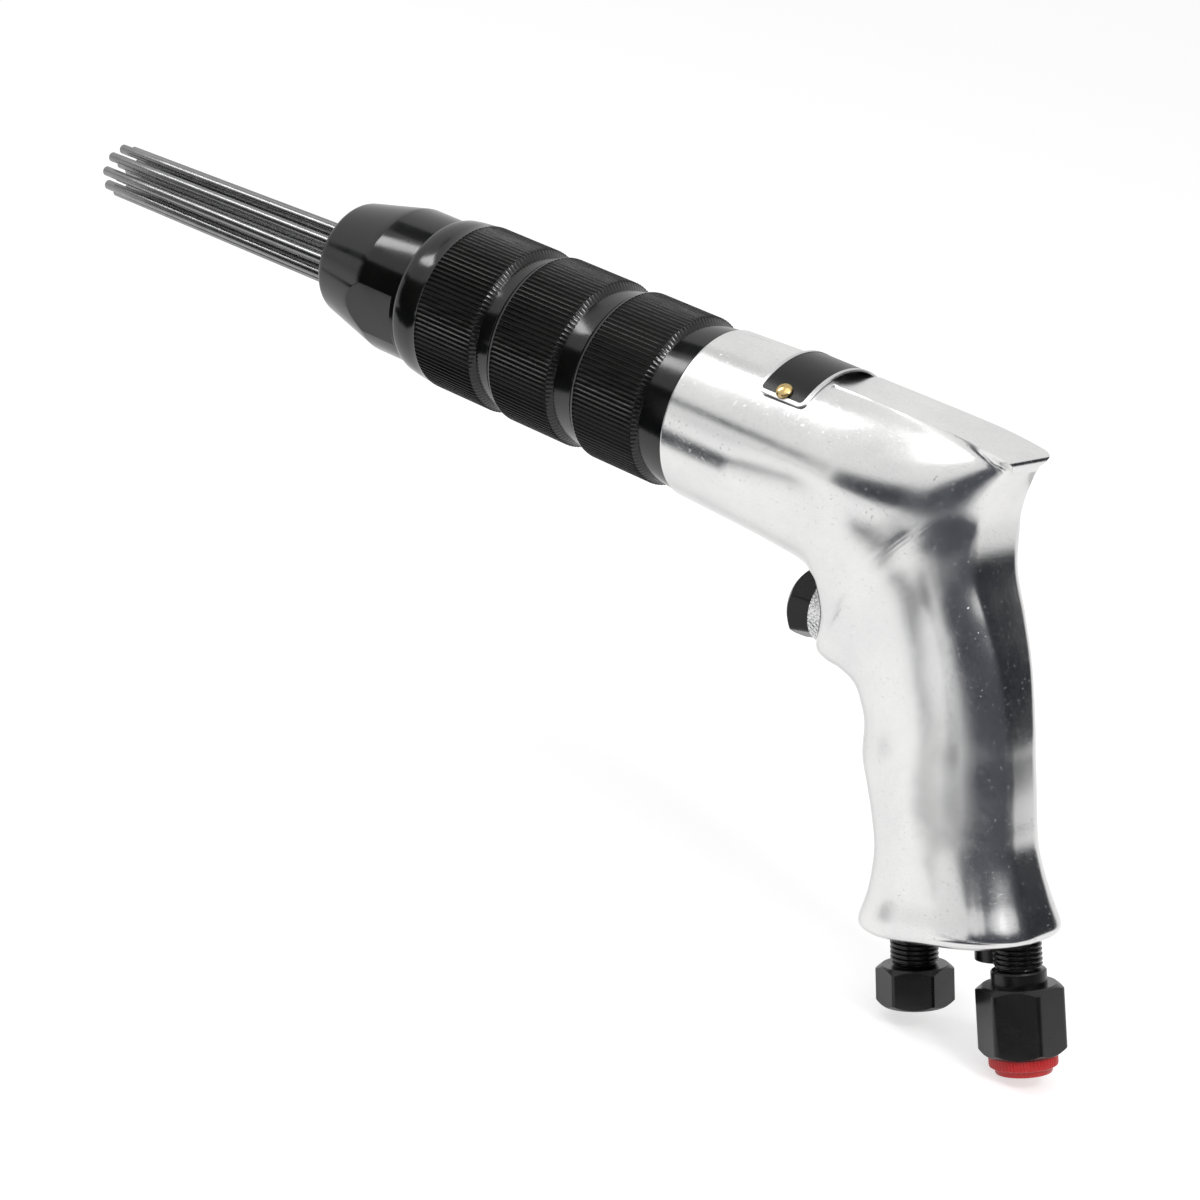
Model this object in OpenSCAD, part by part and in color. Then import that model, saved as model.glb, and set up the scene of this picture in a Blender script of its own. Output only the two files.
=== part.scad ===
// Pistol-grip needle scaler. Origin on the barrel axis, at the joint of nose and sleeve.
// +X runs out along the needles, +Z is up, +Y is the tool's left side. Millimetres.

/* [Nose] */
// Radius of the nose where the wrench flats are
nose_r = 22.3; // [20:0.1:24]
// Length of the straight part of the nose
nose_straight = 15; // [10:0.5:20]
// Length of the nose in front of the sleeve
nose_len = 37; // [30:0.5:45]
// Radius of the nose's front rim
rim_r = 17.4; // [15:0.1:19]
// Radius of the opening that the needles come out of
mouth_r = 12.8; // [12.4:0.1:14.5]
// Distance from the axis to a wrench flat
flat_dist = 20.8; // [20.7:0.1:21.5]
// Turn of the wrench flats from the horizontal, in degrees
flat_turn = 19; // [0:1:45]
// Length of a wrench flat
flat_len = 25; // [15:0.5:30]

/* [Sleeve] */
// Radius over the knurled bands
grip_r = 25; // [24.3:0.1:27]
// Radius of the grooves between the bands
groove_r = 23.2; // [22.4:0.1:23.8]
// Length of the smooth collar in front of the first band
collar_len = 10.7; // [6:0.5:14]
// Length of one knurled band
band_len = 21; // [16:0.5:24]
// Length of one groove
groove_len = 8.4; // [5:0.1:10]
// Smooth rounded lead of a band
lead_len = 1.9; // [1:0.1:3]

/* [Needles] */
// Diameter of a needle
needle_d = 3; // [2:0.1:3.4]
// Length of a needle
needle_len = 174; // [150:1:190]
// Needles on the outer ring
outer_needles = 9; // [6:1:9]
// Needles on the inner ring
inner_needles = 3; // [3:1:4]
// Radius of the outer ring of needles at the holder
needle_ring_r = 8.8; // [8.4:0.1:9.4]
// Droop of the loose bundle in degrees
droop = 1.4; // [0:0.1:2]
// Draw-in of the outer needles in degrees
draw_in = 0.6; // [0:0.1:1]

/* [Mechanism] */
// Thickness of the needle holder
holder_len = 10; // [8:0.5:14]
// Radius of the piston
piston_r = 12; // [10:0.1:13]
// Length of the piston
piston_len = 34; // [25:0.5:40]
// Stroke of the piston
piston_stroke = 43; // [20:1:43]
// Stroke of needle holder and anvil
holder_stroke = 8; // [4:0.5:10]
// Radius of the cylinder tube
tube_r = 17.9; // [17.2:0.1:18.4]

/* [Casting] */
// Radius of the barrel where the casting meets the sleeve
cast_front_r = 24.6; // [23.9:0.1:24.9]
// Radius of the barrel above the handle
cast_rear_r = 26.8; // [26:0.1:27.4]
// Half thickness of the handle
grip_half = 17.5; // [16:0.1:19]
// Half thickness of the handle's foot
foot_half = 20.3; // [18.5:0.1:22]

/* [Plate] */
// Length of the plate along the barrel
plate_len = 16; // [10:0.5:18]
// Half angle that the plate wraps
plate_angle = 49; // [35:1:60]
// Thickness of the plate
plate_t = 0.6; // [0.4:0.1:1]
// Radius of a rivet head
rivet_r = 2.4; // [1.5:0.1:3]

/* [Trigger] */
// Width of the trigger button across its flats
button_af = 18; // [15:0.5:20]
// Thickness of the trigger button
button_t = 7.6; // [5:0.1:9]
// Radius of the knurled collar
collar_r = 9.1; // [7.5:0.1:9.8]
// Travel of the trigger
trigger_travel = 4.5; // [2:0.1:5]
// Radius of the trigger stem
stem_r = 3; // [2:0.1:3.5]

/* [Fittings] */
// Width of the inlet fitting across its flats
inlet_af = 21; // [19:0.5:24]
// Length of the inlet fitting's hexagon
inlet_hex = 19; // [16:0.5:24]
// Width of the exhaust fitting across its flats
exhaust_af = 19; // [17:0.5:22]
// Length of the exhaust fitting's hexagon
exhaust_hex = 11.2; // [10.2:0.1:16]
// Radius over the pipe threads
thread_r = 6.6; // [6:0.05:7]
// Radius of the inlet fitting's threaded hole
inlet_bore_r = 5.8; // [5.2:0.1:6.2]
// Length of the inlet fitting's threaded hole
inlet_bore_len = 12; // [8:0.5:14]
// Radius of the exhaust fitting's hole
exhaust_bore_r = 5.2; // [4:0.1:5.6]
// Radius of the plug's rim
plug_r = 9.3; // [8:0.1:10]
// Height of the plug's rim
plug_rim = 3.3; // [2:0.1:5]

/* [Hidden] */
fine = 64;
eps = 0.2;

// clearances, each used wherever that kind of fit occurs
screw_gap = 0.1;
run_gap = 0.07;
seat_gap = 0.3;

// stations along the barrel, from the nose joint backwards
band2_x = -(collar_len + band_len + groove_len);
band3_x = band2_x - lead_len - band_len - groove_len;
joint_x = band3_x - lead_len - band_len - groove_len;
spigot_r = 20;
nose_seam = 33;
spigot_len = 16;
shoulder = 1.5;
sleeve_bore_r = tube_r + screw_gap;
chamber_r = 17;
chamber_len = 22;
holder_x = -24.3;
holder_r = sleeve_bore_r - run_gap;
anvil_head = 8;
anvil_head_r = 15;
anvil_stem_r = 8;
anvil_stem = 28;
anvil_x = holder_x - holder_len - seat_gap;
buffer_t = 5;
tube_x = anvil_x - anvil_head - seat_gap - buffer_t - seat_gap;
guide_len = 15;
tube_len = 100;
tube_end = tube_x - tube_len;
piston_x = tube_end + seat_gap + piston_len;
socket_r = tube_r + 4.1;
socket_len = 14;
block_len = 12;
block_x = tube_end - seat_gap;
cushion_t = 5;
bore_end = block_x - block_len - seat_gap - cushion_t - seat_gap;
cast_bore_r = tube_r + screw_gap;

// the handle's frame: foot centre, slant from the vertical
foot_x = -216;
foot_z = -107.3;
slant = 18;

// the trigger's frame: centre on the boss, tilt of its axis
boss_x = -158.2;
boss_z = -38;
tilt = 6.9;
trigger_hole_r = 7;
trigger_depth = 50;

// places on the handle's foot, along it from its centre
inlet_u = -20.1;
inlet_cant = 2.5;
exhaust_u = 12.5;
screw_u = -8;
screw_y = -10;
screw_drop = 9;
screw_head_r = 6.5;
thread_len = 10;
neck_len = 4;
hex_start = 12;
port_depth = 10;
passage_r = 3.8;
shank_r = thread_r - 1;
port_r = shank_r + 0.05;
inlet_low = hex_start + inlet_hex;
inlet_turn = -4;
plug_step = 1.8;
port_len = 8;
exhaust_start = 11;
exhaust_low = exhaust_start + exhaust_hex;
spigot_hole_r = 6.9;
spigot_depth = 4;
screw_hole = 20;
diffuser_r = 4.6;

// feed passage between the throttle and the barrel
feed_x = -174;
feed_z = -36;
feed_turn = 43.5;
feed_len = 26;
feed_r = 2;

// needles: inner ring and heads
inner_ring_r = 3.4;
needle_head_r = 2.3;
needle_head = 2;

// sleeve's spigot and lock ring, tube seals
lock_t = 1.7;
spigot_end = socket_len - lock_t - seat_gap;
seal_t = 2.6;
seal_x = [joint_x - socket_len - 6, tube_end + 6];

// plate and rivets
plate_x = -135;
plate_r = 26.3;
rivet_angle = 43.4;
rivet_shank = 1.2;
rivet_depth = 5;
rivet_high = 1.3;
dome_r = (rivet_r * rivet_r + rivet_high * rivet_high) / (2 * rivet_high);

// trigger: how far the collar reaches, the stem's ends, the parts behind it
collar_out = 5.4;
button_turn = 22;
button_taper = 2.2;
button_crown = 2.2;
stem_in = 4.6;
stem_back = 22;
bush_len = 14;
seat_t = 2.7;
disc_t = 3;
tail_len = 7.7;
tail_run = 50;

function smooth_max(a, b, k) = max(a, b) + pow(max(k - abs(a - b), 0), 2) / (4 * k);
function ramp(d, r) = d >= r ? 1 : pow(1 - pow(1 - max(d, 0) / r, 2.3), 1 / 2.3);
// the barrel draws in towards its rear: distance to the rear outline, then the share left
function rear_x(z) = -198.2 - 0.012 * (z - 4) * (z - 4);
function lower(z) = max(0, min(1, (23.5 - z) / 6));
function tail(x, z) = let(
    d = max(0, x - rear_x(z)),
    web = 0.78 - 0.53 * lower(z),
    len = 4 + (tail_run - 4) * lower(z),
    u = 1 - min(1, d / len))
  web + (1 - web) * sqrt(max(0, 1 - u * u));
function barrel_r(x) = x < -160 ? cast_rear_r
  : cast_front_r + (cast_rear_r - cast_front_r) * min(1, (joint_x - x) / (joint_x + 160));

// One row per section of the casting, from the sleeve to the foot: x, z of its inner
// edge, x, z of its outer edge, half width, then for the inner and the outer edge how
// much of the width is left there and over what length it rounds off, and how much of
// the handle's own section counts
CAST_ROWS = [
  [0, -1, 0, 1, 1, 1, 1, 1, 1, 0],
  [-15, -1, -15, 1, 1, 1, 1, 1, 1, 0],
  [-134, -25.2, -133, 24.9, 15, 0.3, 12, 1, 4, 0],
  [-143, -25.2, -144, 24.5, 15, 0.3, 12, 1, 4, 0.2],
  [-149, -25, -156, 24.4, 16, 0.4, 10, 1, 4, 0.6],
  [-153.5, -24.8, -170, 24.4, 17, 0.5, 12, 1, 4, 1],
  [-156.4, -26.8, -184, 24.4, 18, 0.57, 12, 1, 4, 1],
  [-157.4, -30.5, -194, 23.8, 18, 0.57, 12, 0.95, 4, 1],
  [-157.9, -34, -200.6, 22.9, 18, 0.57, 12, 0.5, 12, 1],
  [-158.2, -36.5, -202, 21.5, 18, 0.57, 12, 0.26, 24, 1],
  [-158.5, -39, -201.2, 19.6, 18, 0.57, 12, 0.2, 26, 1],
  [-159, -43, -199.4, 16.5, 18, 0.55, 12, 0.2, 25, 1],
  [-159.8, -46.6, -198.6, 10, 18, 0.5, 12, 0.2, 26, 1],
  [-163, -48.6, -198.2, 2.5, 18, 0.4, 12, 0.2, 26, 1],
  [-167.5, -49.4, -200.5, -9, 18, 0.35, 14, 0.2, 24, 1],
  [-172.6, -51.6, -207.4, -20.5, 18, 0.3, 15, 0.2, 22, 1],
  [-175.8, -56.4, -213.9, -32, 17.8, 0.25, 18, 0.2, 22, 1],
  [-177.6, -61, -220.3, -47, 17.5, 0.2, 20, 0.2, 20, 1],
  [-179.4, -68.8, -223, -54.6, 17.5, 0.2, 20, 0.2, 20, 1],
  [-183.3, -76, -225.6, -62.2, 17.5, 0.2, 20, 0.2, 20, 1],
  [-187.8, -85, -228.6, -71.7, 17.5, 0.2, 20, 0.2, 20, 1],
  [-190.6, -92.5, -231.4, -79.2, 17.7, 0.2, 20, 0.2, 20, 1],
  [-192, -102.6, -236.8, -88, 18.7, 0.2, 21, 0.2, 21, 1],
  [-191.8, -111, -241.6, -94.8, 20.3, 0.2, 22, 0.2, 22, 1],
  [-192.8, -113.4, -242.6, -97.2, 20, 0.2, 22, 0.2, 22, 1],
  [-195.2, -114.2, -241.7, -98.9, 18.4, 0.2, 20, 0.2, 20, 1]];
sub_rows = 2;
ring_steps = 14;

// the first rows follow the barrel's radius, the handle's rows its half thickness, and
// the lower rows go along with the foot
rows_foot_x = -216;
function foot_move(i) = (foot_x - rows_foot_x) * max(0, min(1, (i - 15) / 6));
function cast_row(i) = let(r = CAST_ROWS[i])
  i < 2 ? [joint_x + r[0], -barrel_r(joint_x + r[0]), joint_x + r[0],
           barrel_r(joint_x + r[0]), 15, 0.3, 12, 1, 4, 0]
  : [for (k = [0:9]) k == 0 || k == 2 ? r[k] + foot_move(i)
     : k == 4 ? r[4] * (i < 22 ? grip_half / 17.5 : foot_half / 20.3) : r[k]];
function blend(p0, p1, p2, p3, t) = 0.5 * (2 * p1 + (p2 - p0) * t
  + (2 * p0 - 5 * p1 + 4 * p2 - p3) * t * t + (3 * p1 - p0 - 3 * p2 + p3) * t * t * t);
last_row = len(CAST_ROWS) - 1;
function row_at(i, t) = blend(cast_row(max(i - 1, 0)), cast_row(i),
  cast_row(min(i + 1, last_row)), cast_row(min(i + 2, last_row)), t);
cast_sections = [for (i = [0:last_row - 1]) for (j = [0:sub_rows - 1]) row_at(i, j / sub_rows),
  cast_row(last_row)];

// half width of the casting on a section, at the share t of the way from inner to outer
function half_width(r, t) = let(
    x = r[0] + (r[2] - r[0]) * t,
    z = r[1] + (r[3] - r[1]) * t,
    l = norm([r[2] - r[0], r[3] - r[1]]),
    inner = r[5] + (1 - r[5]) * ramp(t * l, r[6]),
    outer = r[7] + (1 - r[7]) * ramp((1 - t) * l, r[8]),
    br = barrel_r(x),
    barrel = sqrt(max(br * br - z * z, 0)) * (x > -145 ? 1 : tail(x, z)),
    grip = r[4] * inner * outer * r[9] * max(0, min(1, (8 - z) / 16)))
  max(0.4, r[9] < 0.01 ? barrel : smooth_max(barrel, grip, 8));
function section_points(r) = let(ts = [for (k = [0:ring_steps]) 0.5 - 0.5 * cos(180 * k / ring_steps)])
  [for (s = [1, -1]) for (k = [0:ring_steps]) let(t = ts[s > 0 ? k : ring_steps - k])
    [r[0] + (r[2] - r[0]) * t, s * half_width(r, t), r[1] + (r[3] - r[1]) * t]];
module loft(sections) {
  rings = [for (r = sections) section_points(r)];
  n = len(rings[0]);
  m = len(rings);
  points = [for (g = rings) for (p = g) p];
  sides = [for (i = [0:m - 2]) for (j = [0:n - 1]) let(a = i * n + j, b = i * n + (j + 1) % n)
    each [[a, b, b + n], [a, b + n, a + n]]];
  front = [for (j = [1:n - 2]) [0, j + 1, j]];
  back = [for (j = [1:n - 2]) [(m - 1) * n, (m - 1) * n + j, (m - 1) * n + j + 1]];
  polyhedron(points = points, faces = concat(sides, front, back), convexity = 6);
}

// placing helpers
module along_x(x) translate([x, 0, 0]) rotate([0, 90, 0]) children();
module at_trigger(a) translate([boss_x, 0, boss_z]) rotate([0, 90 + tilt, 0])
  translate([0, 0, a]) children();
module at_foot(u, y, cant) translate([foot_x, 0, foot_z]) rotate([0, slant, 0])
  translate([u, y, 0]) rotate([0, cant, 0]) children();
module tube(r, bore, h) difference() {
  cylinder(r = r, h = h, $fn = fine);
  translate([0, 0, -eps]) cylinder(r = bore, h = h + 2 * eps, $fn = fine);
}
// hexagon with chamfered ends, drawn upwards from z = 0
module chamfered_hex(af, h, low, high) intersection() {
  cylinder(r = af / sqrt(3), h = h, $fn = 6);
  union() {
    cylinder(r1 = low ? af / 2 * 0.95 : af, r2 = low ? af / 2 * 0.95 + h * 0.65 : af, h = h / 2, $fn = fine);
    translate([0, 0, h / 2])
      cylinder(r1 = high ? af / 2 * 0.95 + h * 0.65 : af, r2 = high ? af / 2 * 0.95 : af, h = h / 2, $fn = fine);
  }
}
// pipe thread drawn as closed ridges, upwards from z = 0
module thread_rings(r, root, pitch, count, len) rotate_extrude($fn = fine)
  polygon(concat([[0, 0], [root, 0]],
    [for (i = [0:count - 1]) each [[root, i * pitch + 0.15], [r, i * pitch + 0.5],
      [r, i * pitch + 0.8], [root, i * pitch + pitch - 0.05]]],
    [[root, len], [0, len]]));
// where each needle goes: angle, radius and lean
needle_places = concat(
  [for (i = [0:outer_needles - 1]) [i * 360 / outer_needles + 10, needle_ring_r, draw_in]],
  [for (i = [0:inner_needles - 1]) [i * 360 / inner_needles + 30, inner_ring_r, draw_in / 2]]);
module each_needle(x) for (p = needle_places) translate([x, 0, 0])
  rotate([0, 90 + droop, 0]) rotate([0, 0, p[0]]) translate([p[1], 0, 0]) rotate([0, -p[2], 0])
    children();

module body_casting() color("silver") difference() {
  loft(cast_sections);
  // socket for the sleeve, then the bore for the cylinder
  along_x(joint_x - socket_len) cylinder(r = socket_r + screw_gap, h = socket_len + 5, $fn = fine);
  along_x(bore_end) cylinder(r = cast_bore_r, h = joint_x - bore_end, $fn = fine);
  // trigger: recess for the collar, then the hole for bush, seat and valve
  at_trigger(-trigger_travel - seat_gap) cylinder(r = collar_r + 0.3, h = 14, $fn = fine);
  at_trigger(-trigger_depth) cylinder(r = trigger_hole_r, h = trigger_depth, $fn = fine);
  translate([feed_x, 0, feed_z]) rotate([0, feed_turn, 0]) cylinder(r = feed_r, h = feed_len, $fn = 32);
  // air inlet and exhaust
  at_foot(inlet_u, 0, inlet_cant) {
    translate([0, 0, -6]) cylinder(r = port_r, h = port_depth + 6, $fn = fine);
    translate([0, 0, port_depth - 1]) rotate([0, 7.7, 0])
      cylinder(r = passage_r - 0.2, h = 67, $fn = 32);
  }
  at_foot(exhaust_u, 0, 0) {
    translate([0, 0, -6]) cylinder(r = port_r, h = port_depth + 6, $fn = fine);
    cylinder(r = passage_r, h = 52, $fn = 32);
  }
  // regulator screw and the plate's rivets
  at_foot(screw_u, screw_y, 0) translate([0, 0, -6]) cylinder(r = 4 + screw_gap, h = 6 + screw_hole, $fn = 32);
  for (s = [-1, 1]) along_x(plate_x) rotate([0, 0, 180 + s * rivet_angle])
    translate([plate_r - rivet_depth - 0.5, 0, 0]) rotate([0, 90, 0])
      cylinder(r = rivet_shank + screw_gap, h = rivet_depth + 5, $fn = 24);
}

module front_sleeve() color("dimgray") difference() {
  along_x(0) rotate_extrude($fn = 96) polygon([
    [0, joint_x - spigot_end], [socket_r - 0.6, joint_x - spigot_end],
    [socket_r, joint_x - spigot_end + 0.6],
    [socket_r, joint_x], [groove_r + 0.9, joint_x],
    [groove_r, band3_x - band_len - shoulder], [grip_r - 0.3, band3_x - band_len],
    [grip_r, band3_x - band_len + 0.3],
    [grip_r, band3_x], [grip_r - 0.5, band3_x + lead_len * 0.6], [grip_r - 1.1, band3_x + lead_len],
    [groove_r + 0.7, band3_x + lead_len + 0.2],
    [groove_r, band2_x - band_len - shoulder], [grip_r - 0.3, band2_x - band_len],
    [grip_r, band2_x - band_len + 0.3],
    [grip_r, band2_x], [grip_r - 0.5, band2_x + lead_len * 0.6], [grip_r - 1.1, band2_x + lead_len],
    [groove_r + 0.7, band2_x + lead_len + 0.2],
    [groove_r, -collar_len - band_len - shoulder], [grip_r - 0.3, -collar_len - band_len],
    [grip_r, -collar_len - band_len + 0.3],
    [grip_r, -collar_len], [grip_r - 0.3, -collar_len + 0.3],
    [grip_r - 0.4, -collar_len * 0.7], [grip_r - 0.7, -collar_len * 0.4],
    [grip_r - 1.1, -collar_len * 0.16], [grip_r - 1.6, -0.5], [grip_r - 2.2, 0], [0, 0]]);
  // bore for the nose's spigot, then for holder and cylinder
  along_x(-spigot_len - seat_gap) cylinder(r = spigot_r + screw_gap, h = spigot_len + 5, $fn = fine);
  along_x(joint_x - spigot_end - 2) cylinder(r = sleeve_bore_r, h = -joint_x + spigot_end + 1, $fn = fine);
}

module nose_piece() color("dimgray") difference() {
  along_x(0) rotate([0, 0, nose_seam]) rotate_extrude($fn = 96) polygon([
    [0, -spigot_len], [spigot_r - 0.6, -spigot_len], [spigot_r, -spigot_len + 0.6],
    [spigot_r, 0], [nose_r, 0], [nose_r, nose_straight],
    [rim_r + 0.25, nose_len - 2.4], [rim_r - 0.1, nose_len - 1.3],
    [rim_r - 0.7, nose_len - 0.4], [rim_r - 1.5, nose_len], [0, nose_len]]);
  along_x(-spigot_len - 5) cylinder(r = chamber_r, h = spigot_len + 5 + chamber_len, $fn = fine);
  along_x(chamber_len - 1) cylinder(r = mouth_r, h = nose_len, $fn = fine);
  // two wrench flats, with rounded front ends
  for (s = [0, 180]) rotate([s - flat_turn, 0, 0]) {
    translate([-1, flat_dist, -10]) cube([flat_len - 7, 10, 20]);
    translate([flat_len - 8, flat_dist, 0]) rotate([-90, 0, 0]) cylinder(r = 10, h = 10, $fn = 48);
  }
}

module needles() color("slategray") each_needle(holder_x - holder_len + 0.5) {
  cylinder(r = needle_d / 2, h = needle_len, $fn = 20);
  cylinder(r = needle_head_r, h = needle_head, $fn = 20);
}

module needle_holder() color("gray") difference() {
  along_x(holder_x - holder_len) cylinder(r = holder_r, h = holder_len, $fn = fine);
  each_needle(holder_x - holder_len + 0.5) {
    translate([0, 0, -2]) cylinder(r = needle_head_r + 0.15, h = needle_head + 2.2, $fn = 20);
    cylinder(r = needle_d / 2 + 0.15, h = holder_len + 2, $fn = 20);
  }
}

module return_spring() color("slategray")
  along_x(holder_x + seat_gap) tube(chamber_r - 0.7, mouth_r + 0.9, chamber_len - holder_x - 2 * seat_gap);

module anvil() color("gray") {
  along_x(anvil_x - anvil_head) cylinder(r = anvil_head_r, h = anvil_head, $fn = fine);
  along_x(anvil_x - anvil_head - anvil_stem) cylinder(r = anvil_stem_r, h = anvil_stem + 1, $fn = fine);
}

module buffer_ring() color("black")
  along_x(tube_x + seat_gap) tube(sleeve_bore_r - 0.2, anvil_stem_r + seat_gap, buffer_t);

module cylinder_tube() color("gray") difference() {
  along_x(tube_end) cylinder(r = tube_r, h = tube_len, $fn = fine);
  along_x(tube_x - guide_len - 1) cylinder(r = anvil_stem_r + run_gap, h = guide_len + 2, $fn = fine);
  along_x(tube_end - 1) cylinder(r = piston_r + run_gap, h = tube_len - guide_len + 1, $fn = fine);
  for (x = seal_x) along_x(x - seal_t / 2) difference() {
    cylinder(r = tube_r + 1, h = seal_t, $fn = fine);
    translate([0, 0, -1]) cylinder(r = tube_r - seal_t, h = seal_t + 2, $fn = fine);
  }
}

module cylinder_seals() color("black") for (x = seal_x)
  along_x(x - seal_t / 2 + 0.15) tube(tube_r, tube_r - seal_t + 0.1, seal_t - 0.3);

module piston() color("silver") difference() {
  along_x(tube_end + seat_gap) cylinder(r = piston_r, h = piston_len, $fn = fine);
  for (x = [6, piston_len - 8]) along_x(tube_end + seat_gap + x) difference() {
    cylinder(r = piston_r + 1, h = 2, $fn = fine);
    translate([0, 0, -1]) cylinder(r = piston_r - 1, h = 4, $fn = fine);
  }
}

module valve_block() color("gray") difference() {
  along_x(block_x - block_len) cylinder(r = tube_r - 0.1, h = block_len, $fn = fine);
  for (a = [45:90:315]) along_x(block_x - block_len - 1) rotate([0, 0, a]) translate([9, 0, 0])
    cylinder(r = 2, h = block_len + 2, $fn = 24);
  along_x(block_x - 3) cylinder(r = 6, h = 4, $fn = 32);
}

module rear_cushion() color("black")
  along_x(bore_end + seat_gap) cylinder(r = tube_r - 0.2, h = cushion_t, $fn = fine);

module lock_ring() color("gray")
  along_x(joint_x - socket_len) tube(socket_r - 0.2, cast_bore_r + 0.1, lock_t);

module nameplate() color("black") difference() {
  intersection() {
    along_x(plate_x - plate_len / 2) tube(plate_r + plate_t, plate_r, plate_len);
    along_x(plate_x - plate_len / 2) linear_extrude(plate_len)
      polygon([[0, 0], [-40, 40 * tan(plate_angle)], [-40, -40 * tan(plate_angle)]]);
  }
  for (s = [-1, 1]) along_x(plate_x) rotate([0, 0, 180 + s * rivet_angle])
    translate([plate_r - 2, 0, 0]) rotate([0, 90, 0]) cylinder(r = rivet_shank + 0.05, h = 5, $fn = 24);
}

module plate_rivets() color("goldenrod") for (s = [-1, 1])
  along_x(plate_x) rotate([0, 0, 180 + s * rivet_angle]) translate([plate_r - rivet_depth, 0, 0]) rotate([0, 90, 0]) {
    cylinder(r = rivet_shank, h = rivet_depth + 1, $fn = 24);
    translate([0, 0, rivet_depth + plate_t + 0.05]) intersection() {
      cylinder(r = rivet_r, h = rivet_high, $fn = 32);
      translate([0, 0, rivet_high - dome_r]) sphere(r = dome_r, $fn = 48);
    }
  }

module trigger_button() color("black") at_trigger(collar_out) difference() {
  intersection() {
    rotate(button_turn) cylinder(r1 = (button_af - button_taper) / sqrt(3), r2 = button_af / sqrt(3),
      h = button_t, $fn = 6);
    union() {
      cylinder(r = button_af * 0.62, h = button_t - button_crown, $fn = fine);
      translate([0, 0, button_t - button_crown])
        cylinder(r1 = button_af * 0.59, r2 = button_af * 0.45, h = button_crown, $fn = fine);
    }
  }
  translate([0, 0, -1]) cylinder(r = stem_r + run_gap, h = stem_in + 1, $fn = 32);
}

module trigger_collar() color("silver") at_trigger(0) tube(collar_r, stem_r + run_gap, collar_out);

module trigger_stem() color("gray") at_trigger(-stem_back)
  cylinder(r = stem_r, h = stem_back + collar_out + stem_in - seat_gap, $fn = 32);

module trigger_bush() color("goldenrod") at_trigger(-trigger_travel - seat_gap - 0.2 - bush_len)
  tube(trigger_hole_r - screw_gap, stem_r + run_gap, bush_len);

module throttle_seat() color("goldenrod") at_trigger(-stem_back) tube(trigger_hole_r - screw_gap, 4.2, seat_t);

module throttle_valve() color("gray") {
  at_trigger(-stem_back - seat_gap - disc_t) cylinder(r = 5.8, h = disc_t, $fn = 32);
  at_trigger(-stem_back - seat_gap - disc_t - tail_len) cylinder(r = 2.5, h = tail_len + 1, $fn = 24);
}

module throttle_spring() color("slategray") at_trigger(-trigger_depth + seat_gap)
  tube(5.6, 3.6, trigger_depth - stem_back - disc_t - 3 * seat_gap);

module inlet_fitting() color("dimgray") at_foot(inlet_u, 0, inlet_cant) difference() {
  union() {
    translate([0, 0, -hex_start - 1]) cylinder(r = shank_r, h = hex_start + 1 + port_depth - seat_gap, $fn = fine);
    translate([0, 0, -thread_len + 2]) thread_rings(thread_r, thread_r - 0.75, 1.34, 6, thread_len - 1.9);
    translate([0, 0, -hex_start - 0.5]) cylinder(r = 7.5, h = neck_len + 0.5, $fn = fine);
    translate([0, 0, -inlet_low]) rotate(inlet_turn) chamfered_hex(inlet_af, inlet_hex, true, true);
  }
  // plug's seat, threaded hole, air way
  translate([0, 0, -inlet_low - 1]) cylinder(r = spigot_hole_r, h = spigot_depth + 1, $fn = fine);
  translate([0, 0, -inlet_low]) cylinder(r = inlet_bore_r, h = spigot_depth + inlet_bore_len, $fn = fine);
  translate([0, 0, -inlet_low + 1]) cylinder(r = passage_r, h = 60, $fn = fine);
}

module inlet_strainer() color("goldenrod") at_foot(inlet_u, 0, inlet_cant)
  translate([0, 0, -inlet_low + spigot_depth + inlet_bore_len + 1]) difference() {
    cylinder(r = passage_r - screw_gap, h = 18, $fn = 32);
    translate([0, 0, -1]) cylinder(r = passage_r - 1, h = 18, $fn = 32);
  }

module dust_plug() color("firebrick") at_foot(inlet_u, 0, inlet_cant) {
  translate([0, 0, -inlet_low - plug_rim]) cylinder(r = plug_r, h = plug_rim, $fn = fine);
  translate([0, 0, -inlet_low - plug_rim - plug_step]) cylinder(r = plug_r - 1.6, h = plug_step + 1, $fn = fine);
  translate([0, 0, -inlet_low - 1]) cylinder(r = spigot_hole_r - 0.06, h = spigot_depth + 0.7, $fn = fine);
}

module exhaust_fitting() color("dimgray") at_foot(exhaust_u, 0, 0) difference() {
  union() {
    translate([0, 0, -exhaust_start - 1])
      cylinder(r = shank_r, h = exhaust_start + 1 + port_depth - seat_gap, $fn = fine);
    translate([0, 0, -exhaust_start]) thread_rings(thread_r, thread_r - 0.75, 1.34, 8, exhaust_start + 0.1);
    translate([0, 0, -exhaust_low]) chamfered_hex(exhaust_af, exhaust_hex, true, true);
  }
  // way out, then the diffuser's seat and the air way
  translate([0, 0, -exhaust_low - 1]) cylinder(r = exhaust_bore_r, h = port_len + 1, $fn = fine);
  translate([0, 0, -exhaust_low]) cylinder(r = diffuser_r + screw_gap, h = port_len + 4, $fn = fine);
  translate([0, 0, -exhaust_low]) cylinder(r = passage_r - 0.6, h = 60, $fn = fine);
}

module exhaust_diffuser() color("goldenrod") at_foot(exhaust_u, 0, 0)
  translate([0, 0, -exhaust_low + port_len + 0.2]) cylinder(r = diffuser_r, h = 3.7, $fn = 32);

module regulator_screw() color("dimgray") at_foot(screw_u, screw_y, 0) difference() {
  union() {
    translate([0, 0, -screw_drop]) cylinder(r = screw_head_r, h = screw_drop - seat_gap, $fn = fine);
    translate([0, 0, -1]) cylinder(r = 4, h = screw_hole, $fn = 32);
  }
  translate([-8, -0.8, -screw_drop - 1]) cube([16, 1.6, 2.5]);
}

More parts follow.
